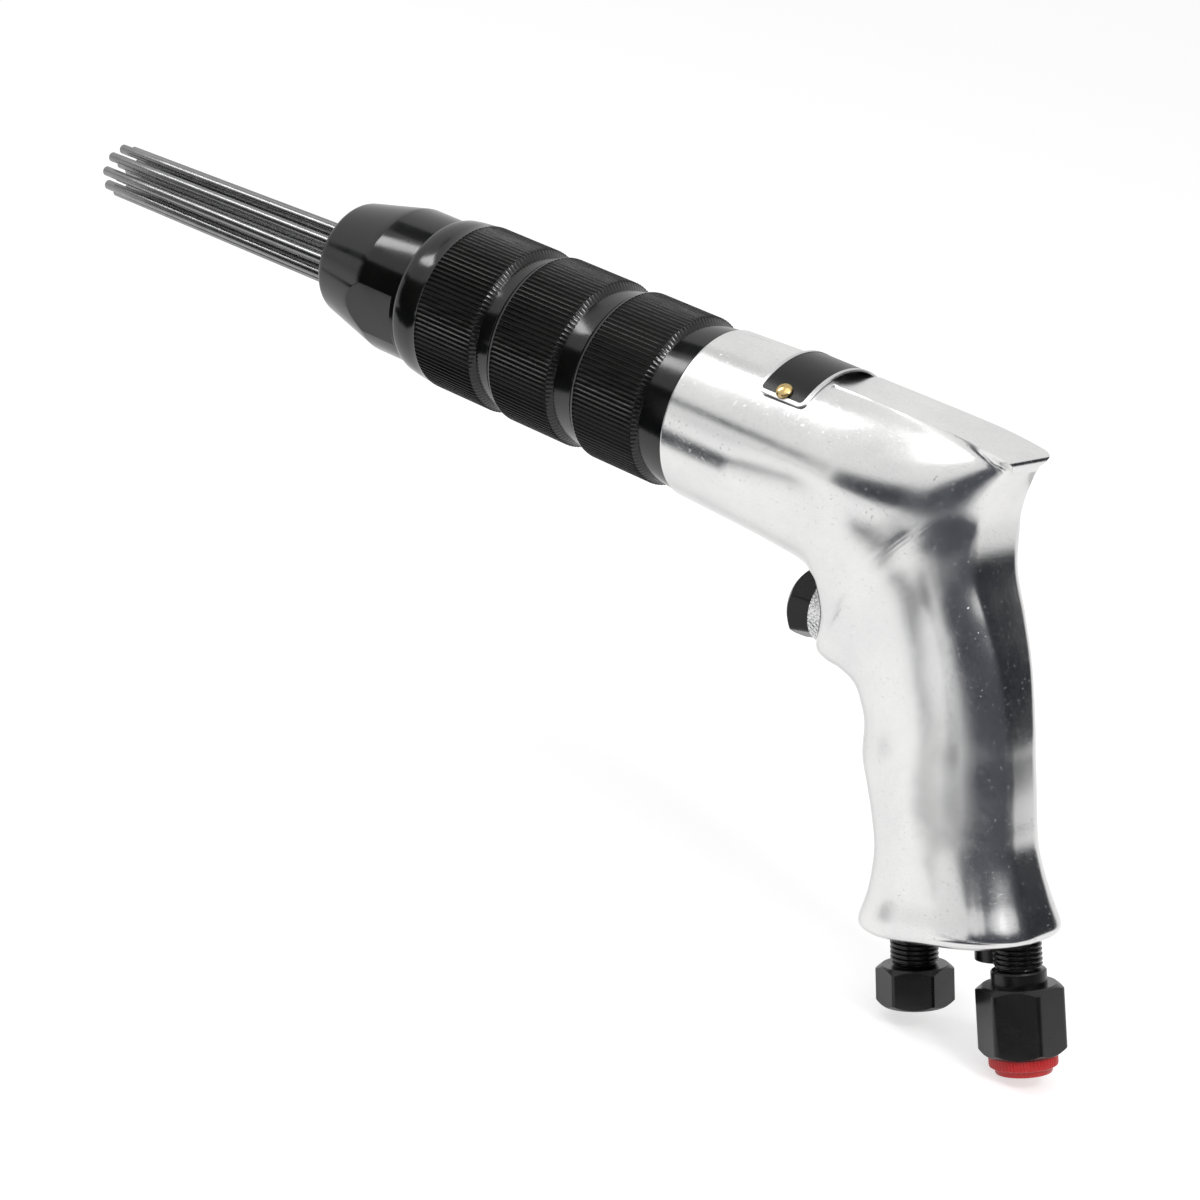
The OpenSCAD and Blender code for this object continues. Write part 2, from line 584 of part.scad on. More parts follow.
body_casting();
front_sleeve();
nose_piece();
needles();
needle_holder();
return_spring();
anvil();
buffer_ring();
cylinder_tube();
cylinder_seals();
piston();
valve_block();
rear_cushion();
lock_ring();
nameplate();
plate_rivets();
trigger_button();
trigger_collar();
trigger_stem();
trigger_bush();
throttle_valve();
throttle_spring();
throttle_seat();
inlet_fitting();
inlet_strainer();
dust_plug();
exhaust_fitting();
exhaust_diffuser();
regulator_screw();
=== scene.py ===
# Needle scaler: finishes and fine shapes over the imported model
import math

import bmesh
import bpy
import numpy as np
from mathutils import Matrix, Vector


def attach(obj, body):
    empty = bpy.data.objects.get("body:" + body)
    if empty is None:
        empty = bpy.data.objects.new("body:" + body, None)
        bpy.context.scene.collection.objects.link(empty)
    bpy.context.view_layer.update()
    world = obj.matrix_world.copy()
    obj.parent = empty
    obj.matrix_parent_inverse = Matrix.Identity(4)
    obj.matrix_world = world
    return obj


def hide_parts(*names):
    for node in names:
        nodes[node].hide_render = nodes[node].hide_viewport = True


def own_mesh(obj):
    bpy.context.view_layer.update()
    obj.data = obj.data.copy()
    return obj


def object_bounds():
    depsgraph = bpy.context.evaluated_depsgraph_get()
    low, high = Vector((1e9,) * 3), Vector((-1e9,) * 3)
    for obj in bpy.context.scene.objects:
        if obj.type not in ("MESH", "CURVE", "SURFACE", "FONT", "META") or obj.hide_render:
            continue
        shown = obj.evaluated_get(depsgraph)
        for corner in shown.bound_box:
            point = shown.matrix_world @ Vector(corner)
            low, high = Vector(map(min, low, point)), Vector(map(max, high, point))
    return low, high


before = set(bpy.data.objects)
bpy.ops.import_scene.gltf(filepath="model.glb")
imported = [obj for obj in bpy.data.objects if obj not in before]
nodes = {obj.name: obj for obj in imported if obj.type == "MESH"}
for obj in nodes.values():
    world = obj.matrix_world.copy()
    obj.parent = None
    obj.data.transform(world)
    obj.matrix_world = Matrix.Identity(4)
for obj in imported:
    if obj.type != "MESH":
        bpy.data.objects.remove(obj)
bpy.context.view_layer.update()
scene = bpy.context.scene
mm = 0.001
print("frame loaded,", len(nodes), "nodes")


# places on the tool, all in millimetres and degrees
triggerPlace = {"x": -158.2, "z": -38, "turn": 96.9}
footPlace = {"x": -216, "z": -107.3, "turn": 18}


def turn(degrees, axis):
    return Matrix.Rotation(math.radians(degrees), 4, axis)


def alongBarrel(x):
    return Matrix.Translation((x, 0, 0)) @ turn(90, "Y")


def atTrigger(out):
    p = triggerPlace
    return (Matrix.Translation((p["x"], 0, p["z"])) @ turn(p["turn"], "Y")
            @ Matrix.Translation((0, 0, out)))


def atFoot(along, across=0, cant=0):
    p = footPlace
    return (Matrix.Translation((p["x"], 0, p["z"])) @ turn(p["turn"], "Y")
            @ Matrix.Translation((along, across, 0)) @ turn(cant, "Y"))


# meshes
def linked(name, data):
    obj = bpy.data.objects.new(name, data)
    scene.collection.objects.link(obj)
    return obj


def looseMesh(name, points, faces, place=None):
    mesh = bpy.data.meshes.new(name)
    grid = np.array(points, float)
    if place is not None:
        spin = np.array(place.to_3x3())
        grid = grid @ spin.T + np.array(place.to_translation())
    mesh.from_pydata((grid * mm).tolist(), [], faces)
    mesh.update()
    obj = linked(name, mesh)
    tidy = bmesh.new()
    tidy.from_mesh(mesh)
    bmesh.ops.recalc_face_normals(tidy, faces=tidy.faces)
    tidy.to_mesh(mesh)
    tidy.free()
    return obj


def smoothTo(obj, angle):
    mesh = obj.data
    mesh.polygons.foreach_set("use_smooth", [True] * len(mesh.polygons))
    mesh.set_sharp_from_angle(angle=math.radians(angle))


def fitted(obj, body, finish, standsFor, angle):
    # shades the piece smooth, hands it to a CAD body and puts it in place of that body's nodes
    smoothTo(obj, angle)
    if not obj.data.materials:
        obj.data.materials.append(finish)
    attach(obj, body)
    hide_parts(*standsFor)
    return obj


def lathe(outline, count, closed=True, reach=None):
    # outline is a list of (height, radius); reach may move a point by its row and angle
    points, rows = [], []
    for k, (z, r) in enumerate(outline):
        if r < 1e-6:
            rows.append([len(points)] * count)
            points.append((0, 0, z))
            continue
        rows.append(list(range(len(points), len(points) + count)))
        for j in range(count):
            a = 2 * math.pi * j / count
            q = reach(k, j, a, r, z) if reach else (r, z)
            points.append((q[0] * math.cos(a), q[0] * math.sin(a), q[1]))
    faces = []
    last = len(rows) if closed else len(rows) - 1
    for k in range(last):
        a, b = rows[k], rows[(k + 1) % len(rows)]
        for j in range(count):
            i = (j + 1) % count
            face = []
            for p in (a[j], a[i], b[i], b[j]):
                if p not in face:
                    face.append(p)
            if len(face) > 2:
                faces.append(face)
    return points, faces


def turned(name, outline, count, place, closed=True, reach=None):
    points, faces = lathe(outline, count, closed, reach)
    return looseMesh(name, points, faces, place)


def turnedAt(name, outline, count, places):
    # the same turned shape at several places, as one mesh
    points, faces = [], []
    own, sides = lathe(outline, count, False)
    for place in places:
        base = len(points)
        points += [tuple(place @ Vector(p)) for p in own]
        faces += [[base + i for i in side] for side in sides]
    return looseMesh(name, points, faces)


def cutBy(obj, *cutters):
    for cutter in cutters:
        step = obj.modifiers.new("cut", "BOOLEAN")
        step.operation = "DIFFERENCE"
        step.solver = "EXACT"
        step.object = cutter
        bpy.context.view_layer.objects.active = obj
        bpy.ops.object.modifier_apply(modifier=step.name)
        bpy.data.objects.remove(cutter)
    return obj


def roundCutter(place, radius, low, high, count):
    outline = [(low, 0), (low, radius), (high, radius), (high, 0)]
    return turned("cutter", outline, count, place, False)


def springWire(spring, place, name):
    # round wire; the first and last turn lie nearly flat, each rising by most of a wire's radius
    radius, wire, turns = spring["radius"], spring["wire"], spring["turns"]
    low, high = spring["low"], spring["high"]
    stepsPerTurn, side, rise = 40, 10, 0.9
    steps = int(turns * stepsPerTurn)
    flat = 1.0 / turns
    climb = high - low - wire * 2 * (1 + rise)
    points, faces = [], []
    for i in range(steps + 1):
        t = i / steps
        if t < flat:
            z = low + wire + wire * rise * t / flat
        elif t > 1 - flat:
            z = high - wire - wire * rise * (1 - t) / flat
        else:
            z = low + wire * (1 + rise) + climb * (t - flat) / (1 - 2 * flat)
        a = 2 * math.pi * turns * t
        for j in range(side):
            b = 2 * math.pi * j / side
            r = radius + wire * math.cos(b)
            points.append((r * math.cos(a), r * math.sin(a), z + wire * math.sin(b)))
    for i in range(steps):
        for j in range(side):
            k = (j + 1) % side
            faces.append([i * side + j, i * side + k, (i + 1) * side + k, (i + 1) * side + j])
    faces.append(list(range(side)))
    faces.append([steps * side + j for j in range(side)])
    return looseMesh(name, points, faces, place)


# finishes; the noises' sizes are widths of their blotches in millimetres
noises = {"alloyCloud": 22, "alloyMarks": 0.9, "alloyPits": 0.9, "oxideCloud": 9, "oxideGrain": 0.5,
          "metalCloud": 5, "metalGrain": 0.4, "mouldCloud": 6, "mouldGrain": 0.35}


def newFinish(name):
    mat = bpy.data.materials.new(name)
    mat.use_nodes = True
    tree = mat.node_tree
    shader = tree.nodes["Principled BSDF"]
    spot = tree.nodes.new("ShaderNodeTexCoord")
    return mat, tree, shader, spot.outputs["Object"]


def noiseOn(tree, spot, size, detail, rough, stretch=(1, 1, 1), spin=(0, 0, 0)):
    # spin is in degrees
    shift = tree.nodes.new("ShaderNodeMapping")
    shift.inputs["Scale"].default_value = stretch
    shift.inputs["Rotation"].default_value = [math.radians(v) for v in spin]
    tree.links.new(spot, shift.inputs["Vector"])
    noise = tree.nodes.new("ShaderNodeTexNoise")
    noise.inputs["Scale"].default_value = 1000 / size
    noise.inputs["Detail"].default_value = detail
    noise.inputs["Roughness"].default_value = rough
    tree.links.new(shift.outputs["Vector"], noise.inputs["Vector"])
    return noise.outputs["Fac"]


def spread(tree, value, toLow, toHigh, fromLow=0.3, fromHigh=0.7):
    node = tree.nodes.new("ShaderNodeMapRange")
    node.inputs["From Min"].default_value = fromLow
    node.inputs["From Max"].default_value = fromHigh
    node.inputs["To Min"].default_value = toLow
    node.inputs["To Max"].default_value = toHigh
    tree.links.new(value, node.inputs["Value"])
    return node.outputs["Result"]


def combine(tree, how, a, b):
    node = tree.nodes.new("ShaderNodeMath")
    node.operation = how
    for slot, value in ((0, a), (1, b)):
        if isinstance(value, (int, float)):
            node.inputs[slot].default_value = value
        else:
            tree.links.new(value, node.inputs[slot])
    return node.outputs["Value"]


def tint(tree, value, low, high):
    node = tree.nodes.new("ShaderNodeMix")
    node.data_type = "RGBA"
    node.inputs[6].default_value = (*low, 1)
    node.inputs[7].default_value = (*high, 1)
    tree.links.new(value, node.inputs["Factor"])
    return node.outputs[2]


def relief(tree, shader, height, strength, depth):
    node = tree.nodes.new("ShaderNodeBump")
    node.inputs["Strength"].default_value = strength
    node.inputs["Distance"].default_value = depth * mm
    tree.links.new(height, node.inputs["Height"])
    tree.links.new(node.outputs["Normal"], shader.inputs["Normal"])


def polishedAlloy(look):
    # polished casting: cloudy gloss, fine grinding marks along the barrel and small pits
    mat, tree, shader, spot = newFinish("polished_alloy")
    shader.inputs["Metallic"].default_value = 1
    cloud = noiseOn(tree, spot, noises["alloyCloud"], 4, 0.6)
    fine = noiseOn(tree, spot, noises["alloyMarks"], 5, 0.7, (1, 1, 5), (0, 20, 0))
    pits = noiseOn(tree, spot, noises["alloyPits"], 2, 0.5)
    pit = spread(tree, pits, 0, 1, 0.67, 0.75)
    tone = combine(tree, "SUBTRACT", combine(tree, "ADD", spread(tree, cloud, 0, 0.6),
                                             spread(tree, fine, 0, 0.4, 0.35, 0.65)), pit)
    tree.links.new(tint(tree, tone, look["dark"], look["light"]), shader.inputs["Base Color"])
    rough = combine(tree, "ADD", spread(tree, cloud, look["gloss"], look["dull"]),
                    combine(tree, "MULTIPLY", fine, 0.1))
    tree.links.new(rough, shader.inputs["Roughness"])
    height = combine(tree, "SUBTRACT", combine(tree, "MULTIPLY", fine, 0.35), pit)
    relief(tree, shader, height, 0.9, 0.03)
    return mat


def blackenedSteel(name, look):
    mat, tree, shader, spot = newFinish(name)
    shader.inputs["Specular IOR Level"].default_value = look["shine"]
    cloud = noiseOn(tree, spot, noises["oxideCloud"], 4, 0.6)
    fine = noiseOn(tree, spot, noises["oxideGrain"], 3, 0.6)
    tree.links.new(tint(tree, cloud, look["dark"], look["light"]), shader.inputs["Base Color"])
    rough = combine(tree, "ADD", spread(tree, cloud, look["gloss"], look["dull"]),
                    combine(tree, "MULTIPLY", fine, 0.08))
    tree.links.new(rough, shader.inputs["Roughness"])
    relief(tree, shader, fine, 0.25, 0.02)
    return mat


def plainMetal(name, look):
    mat, tree, shader, spot = newFinish(name)
    shader.inputs["Metallic"].default_value = 1
    cloud = noiseOn(tree, spot, noises["metalCloud"], 3, 0.6)
    fine = noiseOn(tree, spot, noises["metalGrain"], 3, 0.6, look.get("stretch", (1, 1, 1)))
    tree.links.new(tint(tree, cloud, look["dark"], look["light"]), shader.inputs["Base Color"])
    tree.links.new(spread(tree, fine, look["gloss"], look["dull"]), shader.inputs["Roughness"])
    relief(tree, shader, fine, look.get("grain", 0.2), 0.02)
    return mat


def moulded(name, look):
    mat, tree, shader, spot = newFinish(name)
    cloud = noiseOn(tree, spot, noises["mouldCloud"], 3, 0.5)
    grain = noiseOn(tree, spot, noises["mouldGrain"], 2, 0.5)
    shader.inputs["Specular IOR Level"].default_value = look.get("shine", 0.5)
    shader.inputs["Subsurface Weight"].default_value = look.get("glow", 0)
    shader.inputs["Subsurface Scale"].default_value = 0.002
    shader.inputs["Coat Weight"].default_value = look.get("coat", 0)
    tree.links.new(tint(tree, cloud, look["dark"], look["light"]), shader.inputs["Base Color"])
    tree.links.new(spread(tree, grain, look["gloss"], look["dull"]), shader.inputs["Roughness"])
    relief(tree, shader, grain, 0.2, 0.02)
    return mat


# how each finish looks: its two tones, and its roughness where it is glossy and where it is dull
alloyLook = {"dark": (0.78, 0.78, 0.785), "light": (0.96, 0.955, 0.94), "gloss": 0.1, "dull": 0.19}
sleeveLook = {"dark": (0.002, 0.002, 0.002), "light": (0.006, 0.006, 0.0055), "shine": 0.5,
              "gloss": 0.07, "dull": 0.14}
knurlLook = {"dark": (0.002, 0.002, 0.002), "light": (0.008, 0.0075, 0.007), "shine": 0.25,
             "gloss": 0.2, "dull": 0.34}
fittingLook = {"dark": (0.002, 0.002, 0.002), "light": (0.008, 0.008, 0.0075), "shine": 0.45,
               "gloss": 0.14, "dull": 0.26}
needleLook = {"dark": (0.2, 0.2, 0.205), "light": (0.36, 0.36, 0.36), "gloss": 0.24, "dull": 0.3,
              "stretch": (0.15, 1, 1), "grain": 0}
steelLook = {"dark": (0.38, 0.38, 0.39), "light": (0.55, 0.55, 0.56), "gloss": 0.2, "dull": 0.35}
brightLook = {"dark": (0.72, 0.72, 0.73), "light": (0.9, 0.9, 0.9), "gloss": 0.14, "dull": 0.25}
brassLook = {"dark": (0.5, 0.34, 0.12), "light": (0.78, 0.6, 0.3), "gloss": 0.16, "dull": 0.28}
plateLook = {"dark": (0.003, 0.003, 0.003), "light": (0.01, 0.01, 0.01), "shine": 0.35, "gloss": 0.2,
             "dull": 0.3}
plateRimLook = {"dark": (0.6, 0.6, 0.6), "light": (0.8, 0.8, 0.8), "gloss": 0.25, "dull": 0.4}
buttonLook = {"dark": (0.002, 0.002, 0.002), "light": (0.007, 0.007, 0.007), "shine": 0.4, "gloss": 0.18,
              "dull": 0.3}
redLook = {"dark": (0.5, 0.008, 0.01), "light": (0.72, 0.02, 0.022), "gloss": 0.25, "dull": 0.4,
           "glow": 0.1, "coat": 0.2}
rubberLook = {"dark": (0.01, 0.01, 0.01), "light": (0.03, 0.03, 0.03), "gloss": 0.5, "dull": 0.7}

castAlloy = polishedAlloy(alloyLook)
sleeveBlack = blackenedSteel("sleeve_black", sleeveLook)
knurlBlack = blackenedSteel("knurl_black", knurlLook)
fittingBlack = blackenedSteel("fitting_black", fittingLook)
needleGrey = plainMetal("needle_grey", needleLook)
groundSteel = plainMetal("ground_steel", steelLook)
brightNickel = plainMetal("bright_nickel", brightLook)
turnedBrass = plainMetal("turned_brass", brassLook)
plateBlack = moulded("plate_black", plateLook)
plateSilver = plainMetal("plate_silver", plateRimLook)
buttonBlack = moulded("button_black", buttonLook)
plugRed = moulded("plug_red", redLook)
sealRubber = moulded("seal_rubber", rubberLook)
print("finishes ready")


# body casting: much the same sections as in the source, taken closer together
casting = {
    "frontRadius": 24.6, "rearRadius": 26.8, "jointX": -102.7, "endX": -160, "edge": 0.7,
    "stepsPerRow": 10, "ringSteps": 48, "edgePower": 2.3, "leastHalf": 0.4,
    # where the barrel's flank leaves its circle, and how steeply it runs on
    "leaveDepth": 0.7, "leaveHalf": 0.714, "leaveSlope": 0.98,
    # the barrel narrows behind tailX, up to its bowed rear edge
    "tailX": -145, "tailRun": 50, "tailWeb": 0.25, "rearX": -198.2, "rearBow": 0.012, "rearBowZ": 4,
    "padHalf": 10.9, "padTop": 23.6, "padThick": 4.5, "padTurn": 4, "padWeb": 0.78, "padBlend": 2,
    # the handle sets in over gripRise below gripTop, and runs into the barrel over a blend
    "gripTop": 8, "gripRise": 16, "gripBlend": 15, "lowBlend": 8, "blendZ": -50, "blendRun": 15,
    "softSteps": 60, "softFrontX": -126, "softRunX": 22, "softTopZ": 4, "softTopRun": 12,
    "softLowZ": -75, "softLowRun": 25,
}
# a section runs from a lower or front end to an upper or rear end: x and z of both, half width,
# share of it left at the first end and the length of its rounding, the same at the second end,
# and how far it belongs to the handle
castRows = [
    [-134, -25.2, -133, 24.9, 15, 0.3, 12, 1, 4, 0],
    [-143, -25.2, -144, 24.5, 15, 0.3, 12, 1, 4, 0.2],
    [-149, -25, -156, 24.4, 16, 0.4, 10, 1, 4, 0.6],
    [-153.5, -24.8, -170, 24.4, 17, 0.5, 12, 1, 4, 1],
    [-156.4, -26.8, -184, 24.4, 18, 0.57, 12, 1, 4, 1],
    [-157.4, -30.5, -194, 23.8, 18, 0.53, 15, 0.95, 4, 1],
    [-157.9, -34, -200.6, 22.9, 18, 0.5, 18, 0.5, 12, 1],
    [-158.2, -36.5, -202, 21.5, 18, 0.5, 18, 0.26, 24, 1],
    [-158.5, -39, -201.2, 19.6, 18, 0.5, 18, 0.2, 26, 1],
    [-159, -43, -199.4, 16.5, 18, 0.5, 16, 0.2, 25, 1],
    [-159.8, -46.6, -198.6, 10, 18, 0.5, 12, 0.2, 26, 1],
    [-163, -48.6, -198.2, 2.5, 18, 0.4, 12, 0.2, 26, 1],
    [-167.5, -49.4, -200.5, -9, 18, 0.35, 14, 0.2, 24, 1],
    [-172.6, -51.6, -207.4, -20.5, 18, 0.3, 15, 0.2, 22, 1],
    [-175.8, -56.4, -213.9, -32, 17.8, 0.25, 18, 0.2, 22, 1],
    [-177.6, -61, -220.3, -47, 17.5, 0.2, 20, 0.2, 23, 1],
    [-179.4, -68.8, -223, -54.6, 17.7, 0.2, 20, 0.2, 27, 1],
    [-183.3, -76, -225.6, -62.2, 17.8, 0.2, 20, 0.2, 29, 1],
    [-187.8, -85, -228.6, -71.7, 17.8, 0.2, 20, 0.2, 28, 1],
    [-190.6, -92.5, -231.4, -79.2, 17.8, 0.2, 20, 0.2, 24, 1],
    [-192, -102.6, -236.8, -88, 18.7, 0.2, 21, 0.2, 22, 1],
    [-191.8, -111, -241.6, -94.8, 20.3, 0.2, 22, 0.2, 22, 1],
    [-192.8, -113.4, -242.6, -97.2, 20, 0.2, 22, 0.2, 22, 1],
    [-195.2, -114.2, -241.7, -98.9, 18.4, 0.2, 20, 0.2, 20, 1],
]


def barrelRadius(x):
    c = casting
    share = min(1, (c["jointX"] - x) / (c["jointX"] - c["endX"]))
    r = c["frontRadius"] + (c["rearRadius"] - c["frontRadius"]) * share
    near = 1 - (c["jointX"] - x) / c["edge"]
    if near > 0:
        r -= c["edge"] * (1 - math.sqrt(max(0, 1 - near * near)))
    return r


def barrelRow(behind, b):
    x = casting["jointX"] - behind
    return np.array([x, -b, x, b, 15, 0.3, 12, 1, 4, 0], float)


def taperRadius(behind):
    c = casting
    return c["frontRadius"] + (c["rearRadius"] - c["frontRadius"]) * behind / (c["jointX"] - c["endX"])


castSections = [barrelRow(d, taperRadius(d)) for d in (0, 15)]
castSections += [np.array(row, float) for row in castRows]


def rowAt(i, t):
    # a smooth curve through the sections
    last = len(castSections) - 1
    p0, p1, p2, p3 = (castSections[max(0, min(k, last))] for k in (i - 1, i, i + 1, i + 2))
    return 0.5 * (2 * p1 + (p2 - p0) * t + (2 * p0 - 5 * p1 + 4 * p2 - p3) * t * t
                  + (3 * p1 - p0 - 3 * p2 + p3) * t ** 3)


def flankAt(b, z, grip):
    # the barrel's round side, led straight down into the handle where there is one
    c = casting
    circle = math.sqrt(max(b * b - z * z, 0))
    below = -z - c["leaveDepth"] * b
    if below < 0:
        return circle
    straight = max(0, c["leaveHalf"] * b - c["leaveSlope"] * below)
    return circle + (straight - circle) * max(0, min(1, grip)) ** 3


def drawnIn(x, z, flank):
    # the barrel narrows towards its rear, under a pad that keeps its width
    c = casting
    if x > c["tailX"]:
        return flank
    fromRear = max(0, x - (c["rearX"] - c["rearBow"] * (z - c["rearBowZ"]) ** 2))
    bend = 1 - min(1, fromRear / c["tailRun"])
    low = flank * (c["tailWeb"] + (1 - c["tailWeb"]) * math.sqrt(1 - bend * bend))
    roll = 1 - min(1, fromRear / c["padTurn"])
    pad = c["padHalf"] * (c["padWeb"] + (1 - c["padWeb"]) * math.sqrt(1 - roll * roll))
    depth = max(0, c["padTop"] - z) / c["padThick"]
    pad *= math.sqrt(max(0, 1 - depth * depth))
    return blended(low, pad, c["padBlend"])


def blended(a, b, soft):
    # the larger of two widths, with a soft change from one to the other
    return max(a, b) + max(soft - abs(a - b), 0) ** 2 / (4 * soft)


def ease(d, r):
    # rounding of an edge: from 0 at its end to 1 at distance r
    power = casting["edgePower"]
    return 1 if d >= r else (1 - (1 - max(d, 0) / r) ** power) ** (1 / power)


def halfWidth(row, t):
    c = casting
    x = row[0] + (row[2] - row[0]) * t
    z = row[1] + (row[3] - row[1]) * t
    length = math.hypot(row[2] - row[0], row[3] - row[1])
    inner = row[5] + (1 - row[5]) * ease(t * length, row[6])
    outer = row[7] + (1 - row[7]) * ease((1 - t) * length, row[8])
    b = barrelRadius(x)
    barrel = drawnIn(x, z, flankAt(b, z, row[9]))
    rise = max(0, min(1, (c["gripTop"] - z) / c["gripRise"]))
    grip = row[4] * inner * outer * row[9] * rise * rise * (3 - 2 * rise)
    if row[9] < 0.01:
        return max(c["leastHalf"], barrel)
    high = max(0, min(1, (z - c["blendZ"]) / c["blendRun"]))
    soft = (c["lowBlend"] + (c["gripBlend"] - c["lowBlend"]) * high) * min(1, row[9]) ** 2
    return max(c["leastHalf"], blended(barrel, grip, soft))


def softened(wide, spots):
    # where the handle leaves the barrel the two run into each other without a crease
    c = casting
    x, z = spots[:, :, 0], spots[:, :, 1]
    amount = np.clip((c["softFrontX"] - x) / c["softRunX"], 0, 1)
    amount *= np.clip((c["softTopZ"] - z) / c["softTopRun"], 0, 1)
    amount *= np.clip((z - c["softLowZ"]) / c["softLowRun"], 0, 1)
    for step in range(c["softSteps"]):
        near = wide.copy()
        near[1:-1] = (wide[:-2] + 2 * wide[1:-1] + wide[2:]) / 4
        soft = near.copy()
        soft[:, 1:-1] = (near[:, :-2] + 2 * near[:, 1:-1] + near[:, 2:]) / 4
        wide = wide + (soft - wide) * amount
    return wide


def castingMesh():
    # the first rows round the front edge off
    rows = [barrelRow(d, barrelRadius(casting["jointX"] - d)) for d in (0, 0.05, 0.15, 0.3, 0.5, 0.7)]
    steps = casting["stepsPerRow"]
    for i in range(len(castSections) - 1):
        for j in range(steps):
            if i > 0 or j > 0:
                rows.append(rowAt(i, j / steps))
    rows.append(castSections[-1])
    n = casting["ringSteps"]
    share = [0.5 - 0.5 * math.cos(math.pi * k / n) for k in range(n + 1)]
    spots = np.array([[(row[0] + (row[2] - row[0]) * t, row[1] + (row[3] - row[1]) * t) for t in share]
                      for row in rows])
    wide = softened(np.array([[halfWidth(row, t) for t in share] for row in rows]), spots)
    points, faces = [], []
    for i in range(len(rows)):
        for side in (1, -1):
            for k in (range(n + 1) if side > 0 else range(n, -1, -1)):
                points.append((spots[i, k, 0], side * wide[i, k], spots[i, k, 1]))
    ring = 2 * (n + 1)
    for i in range(len(rows) - 1):
        for j in range(ring):
            k = (j + 1) % ring
            faces.append([i * ring + j, i * ring + k, (i + 1) * ring + k, (i + 1) * ring + j])
    faces.append(list(range(ring)))
    faces.append([(len(rows) - 1) * ring + j for j in range(ring)])
    return looseMesh("polished_casting", points, faces)


inletPlace = atFoot(-20.1, 0, 2.5)
exhaustPlace = atFoot(12.5)
regulatorPlace = atFoot(-8, -10)
# each bore: place, radius, low end, high end and sides; the same bores as in the source
castBores = [
    (alongBarrel(0), 22.1, -116.7, -90, 96),
    (alongBarrel(0), 18, -167.7, -100, 96),
    (atTrigger(0), 9.4, -4.8, 10, 96),
    (atTrigger(0), 7, -50, 0, 64),
    (inletPlace, 6.7, -8, 1.5, 64),
    (inletPlace, 5.65, 0, 10, 64),
    (exhaustPlace, 6.7, -8, 1.5, 64),
    (exhaustPlace, 5.65, 0, 10, 64),
    (regulatorPlace, 4.1, -8, 20, 48),
]
castingObj = castingMesh()
for bore in castBores:
    cutBy(castingObj, roundCutter(*bore))
fitted(castingObj, "tool", castAlloy, ["body_casting"], 40)
print("casting:", len(castingObj.data.polygons), "faces")


# front sleeve with three bands of straight knurling
sleeve = {
    "ribs": 112, "knurlDepth": 0.5, "gripRadius": 25, "grooveRadius": 23.2,
    "bandLength": 21, "grooveLength": 8.4, "collarLength": 10.7, "lead": 1.9, "chamfer": 1.5,
    "skirtEnd": -115, "skirtRadius": 22, "skirtBore": 18.3, "rearEnd": -102.75,
    "noseBore": 20.15, "noseSeat": -16.3, "bore": 18,
    # share of the knurl's depth over one rib
    "rib": [0, 0, 0.5, 1, 0.85, 0.4],
    # the collar's rounded front: share of its length and how far the radius has dropped
    "collarDrops": ((0.9, 0.3), (0.7, 0.4), (0.4, 0.7), (0.16, 1.1), (0.06, 1.5), (0.02, 1.9),
                    (0, 2.3)),
}


def sleeveMesh():
    s = sleeve
    grip, groove, lead = s["gripRadius"], s["grooveRadius"], s["lead"]
    # the bands' front ends, from the nose backwards
    fronts = [-s["collarLength"]]
    fronts.append(fronts[0] - s["bandLength"] - s["grooveLength"])
    fronts.append(fronts[1] - lead - s["bandLength"] - s["grooveLength"])
    outline, ribbed = [], []

    def add(z, r, cut=0.0):
        outline.append((z, r))
        ribbed.append(cut)

    add(s["skirtEnd"], s["skirtBore"])
    add(s["skirtEnd"], s["skirtRadius"] - 0.3)
    add(s["skirtEnd"] + 0.3, s["skirtRadius"])
    add(s["rearEnd"], s["skirtRadius"])
    add(s["rearEnd"], groove + 0.85)
    add(s["rearEnd"] + 0.15, groove + 1.0)
    for k in (2, 1, 0):
        front = fronts[k]
        back = front - s["bandLength"]
        add(back - s["chamfer"] - 0.15, groove + 0.02)
        add(back - s["chamfer"], groove + 0.12)
        add(back - 0.12, grip - 0.28, 0.35)
        add(back, grip - 0.1, 0.75)
        add(back + 0.25, grip, 1)
        for j in range(1, 12):
            add(back + s["bandLength"] * j / 12, grip, 1)
        add(front - 0.25, grip, 1)
        add(front, grip, 0.85)
        add(front + 0.06, grip - 0.02, 0)
        if k:
            add(front + lead * 0.3, grip - 0.15)
            add(front + lead * 0.6, grip - 0.45)
            add(front + lead * 0.85, grip - 0.85)
            add(front + lead, grip - 1.15)
            add(front + lead + 0.06, groove + 0.75)
            add(front + lead + 0.3, groove + 0.68)
    for share, drop in s["collarDrops"]:
        add(-s["collarLength"] * share, grip - drop)
    add(0, s["noseBore"])
    add(s["noseSeat"], s["noseBore"])
    add(s["noseSeat"], s["bore"])
    rib = s["rib"]
    count = s["ribs"] * len(rib)

    def reach(k, j, a, r, z):
        wave = rib[j % len(rib)]
        wear = 0.12 * math.sin(a * 37 + z * 0.9) * math.sin(a * 11 - z * 0.4)
        return (r - s["knurlDepth"] * ribbed[k] * (wave + wear * wave), z)

    obj = turned("knurled_sleeve", outline, count, alongBarrel(0), True, reach)
    obj.data.materials.append(sleeveBlack)
    obj.data.materials.append(knurlBlack)
    flags = []
    for k in range(len(outline)):
        nxt = (k + 1) % len(outline)
        flags += [1 if ribbed[k] > 0.3 and ribbed[nxt] > 0.3 else 0] * count
    obj.data.polygons.foreach_set("material_index", flags[:len(obj.data.polygons)])
    return obj


sleeveObj = fitted(sleeveMesh(), "tool", sleeveBlack, ["front_sleeve"], 34)
print("sleeve:", len(sleeveObj.data.polygons), "faces")


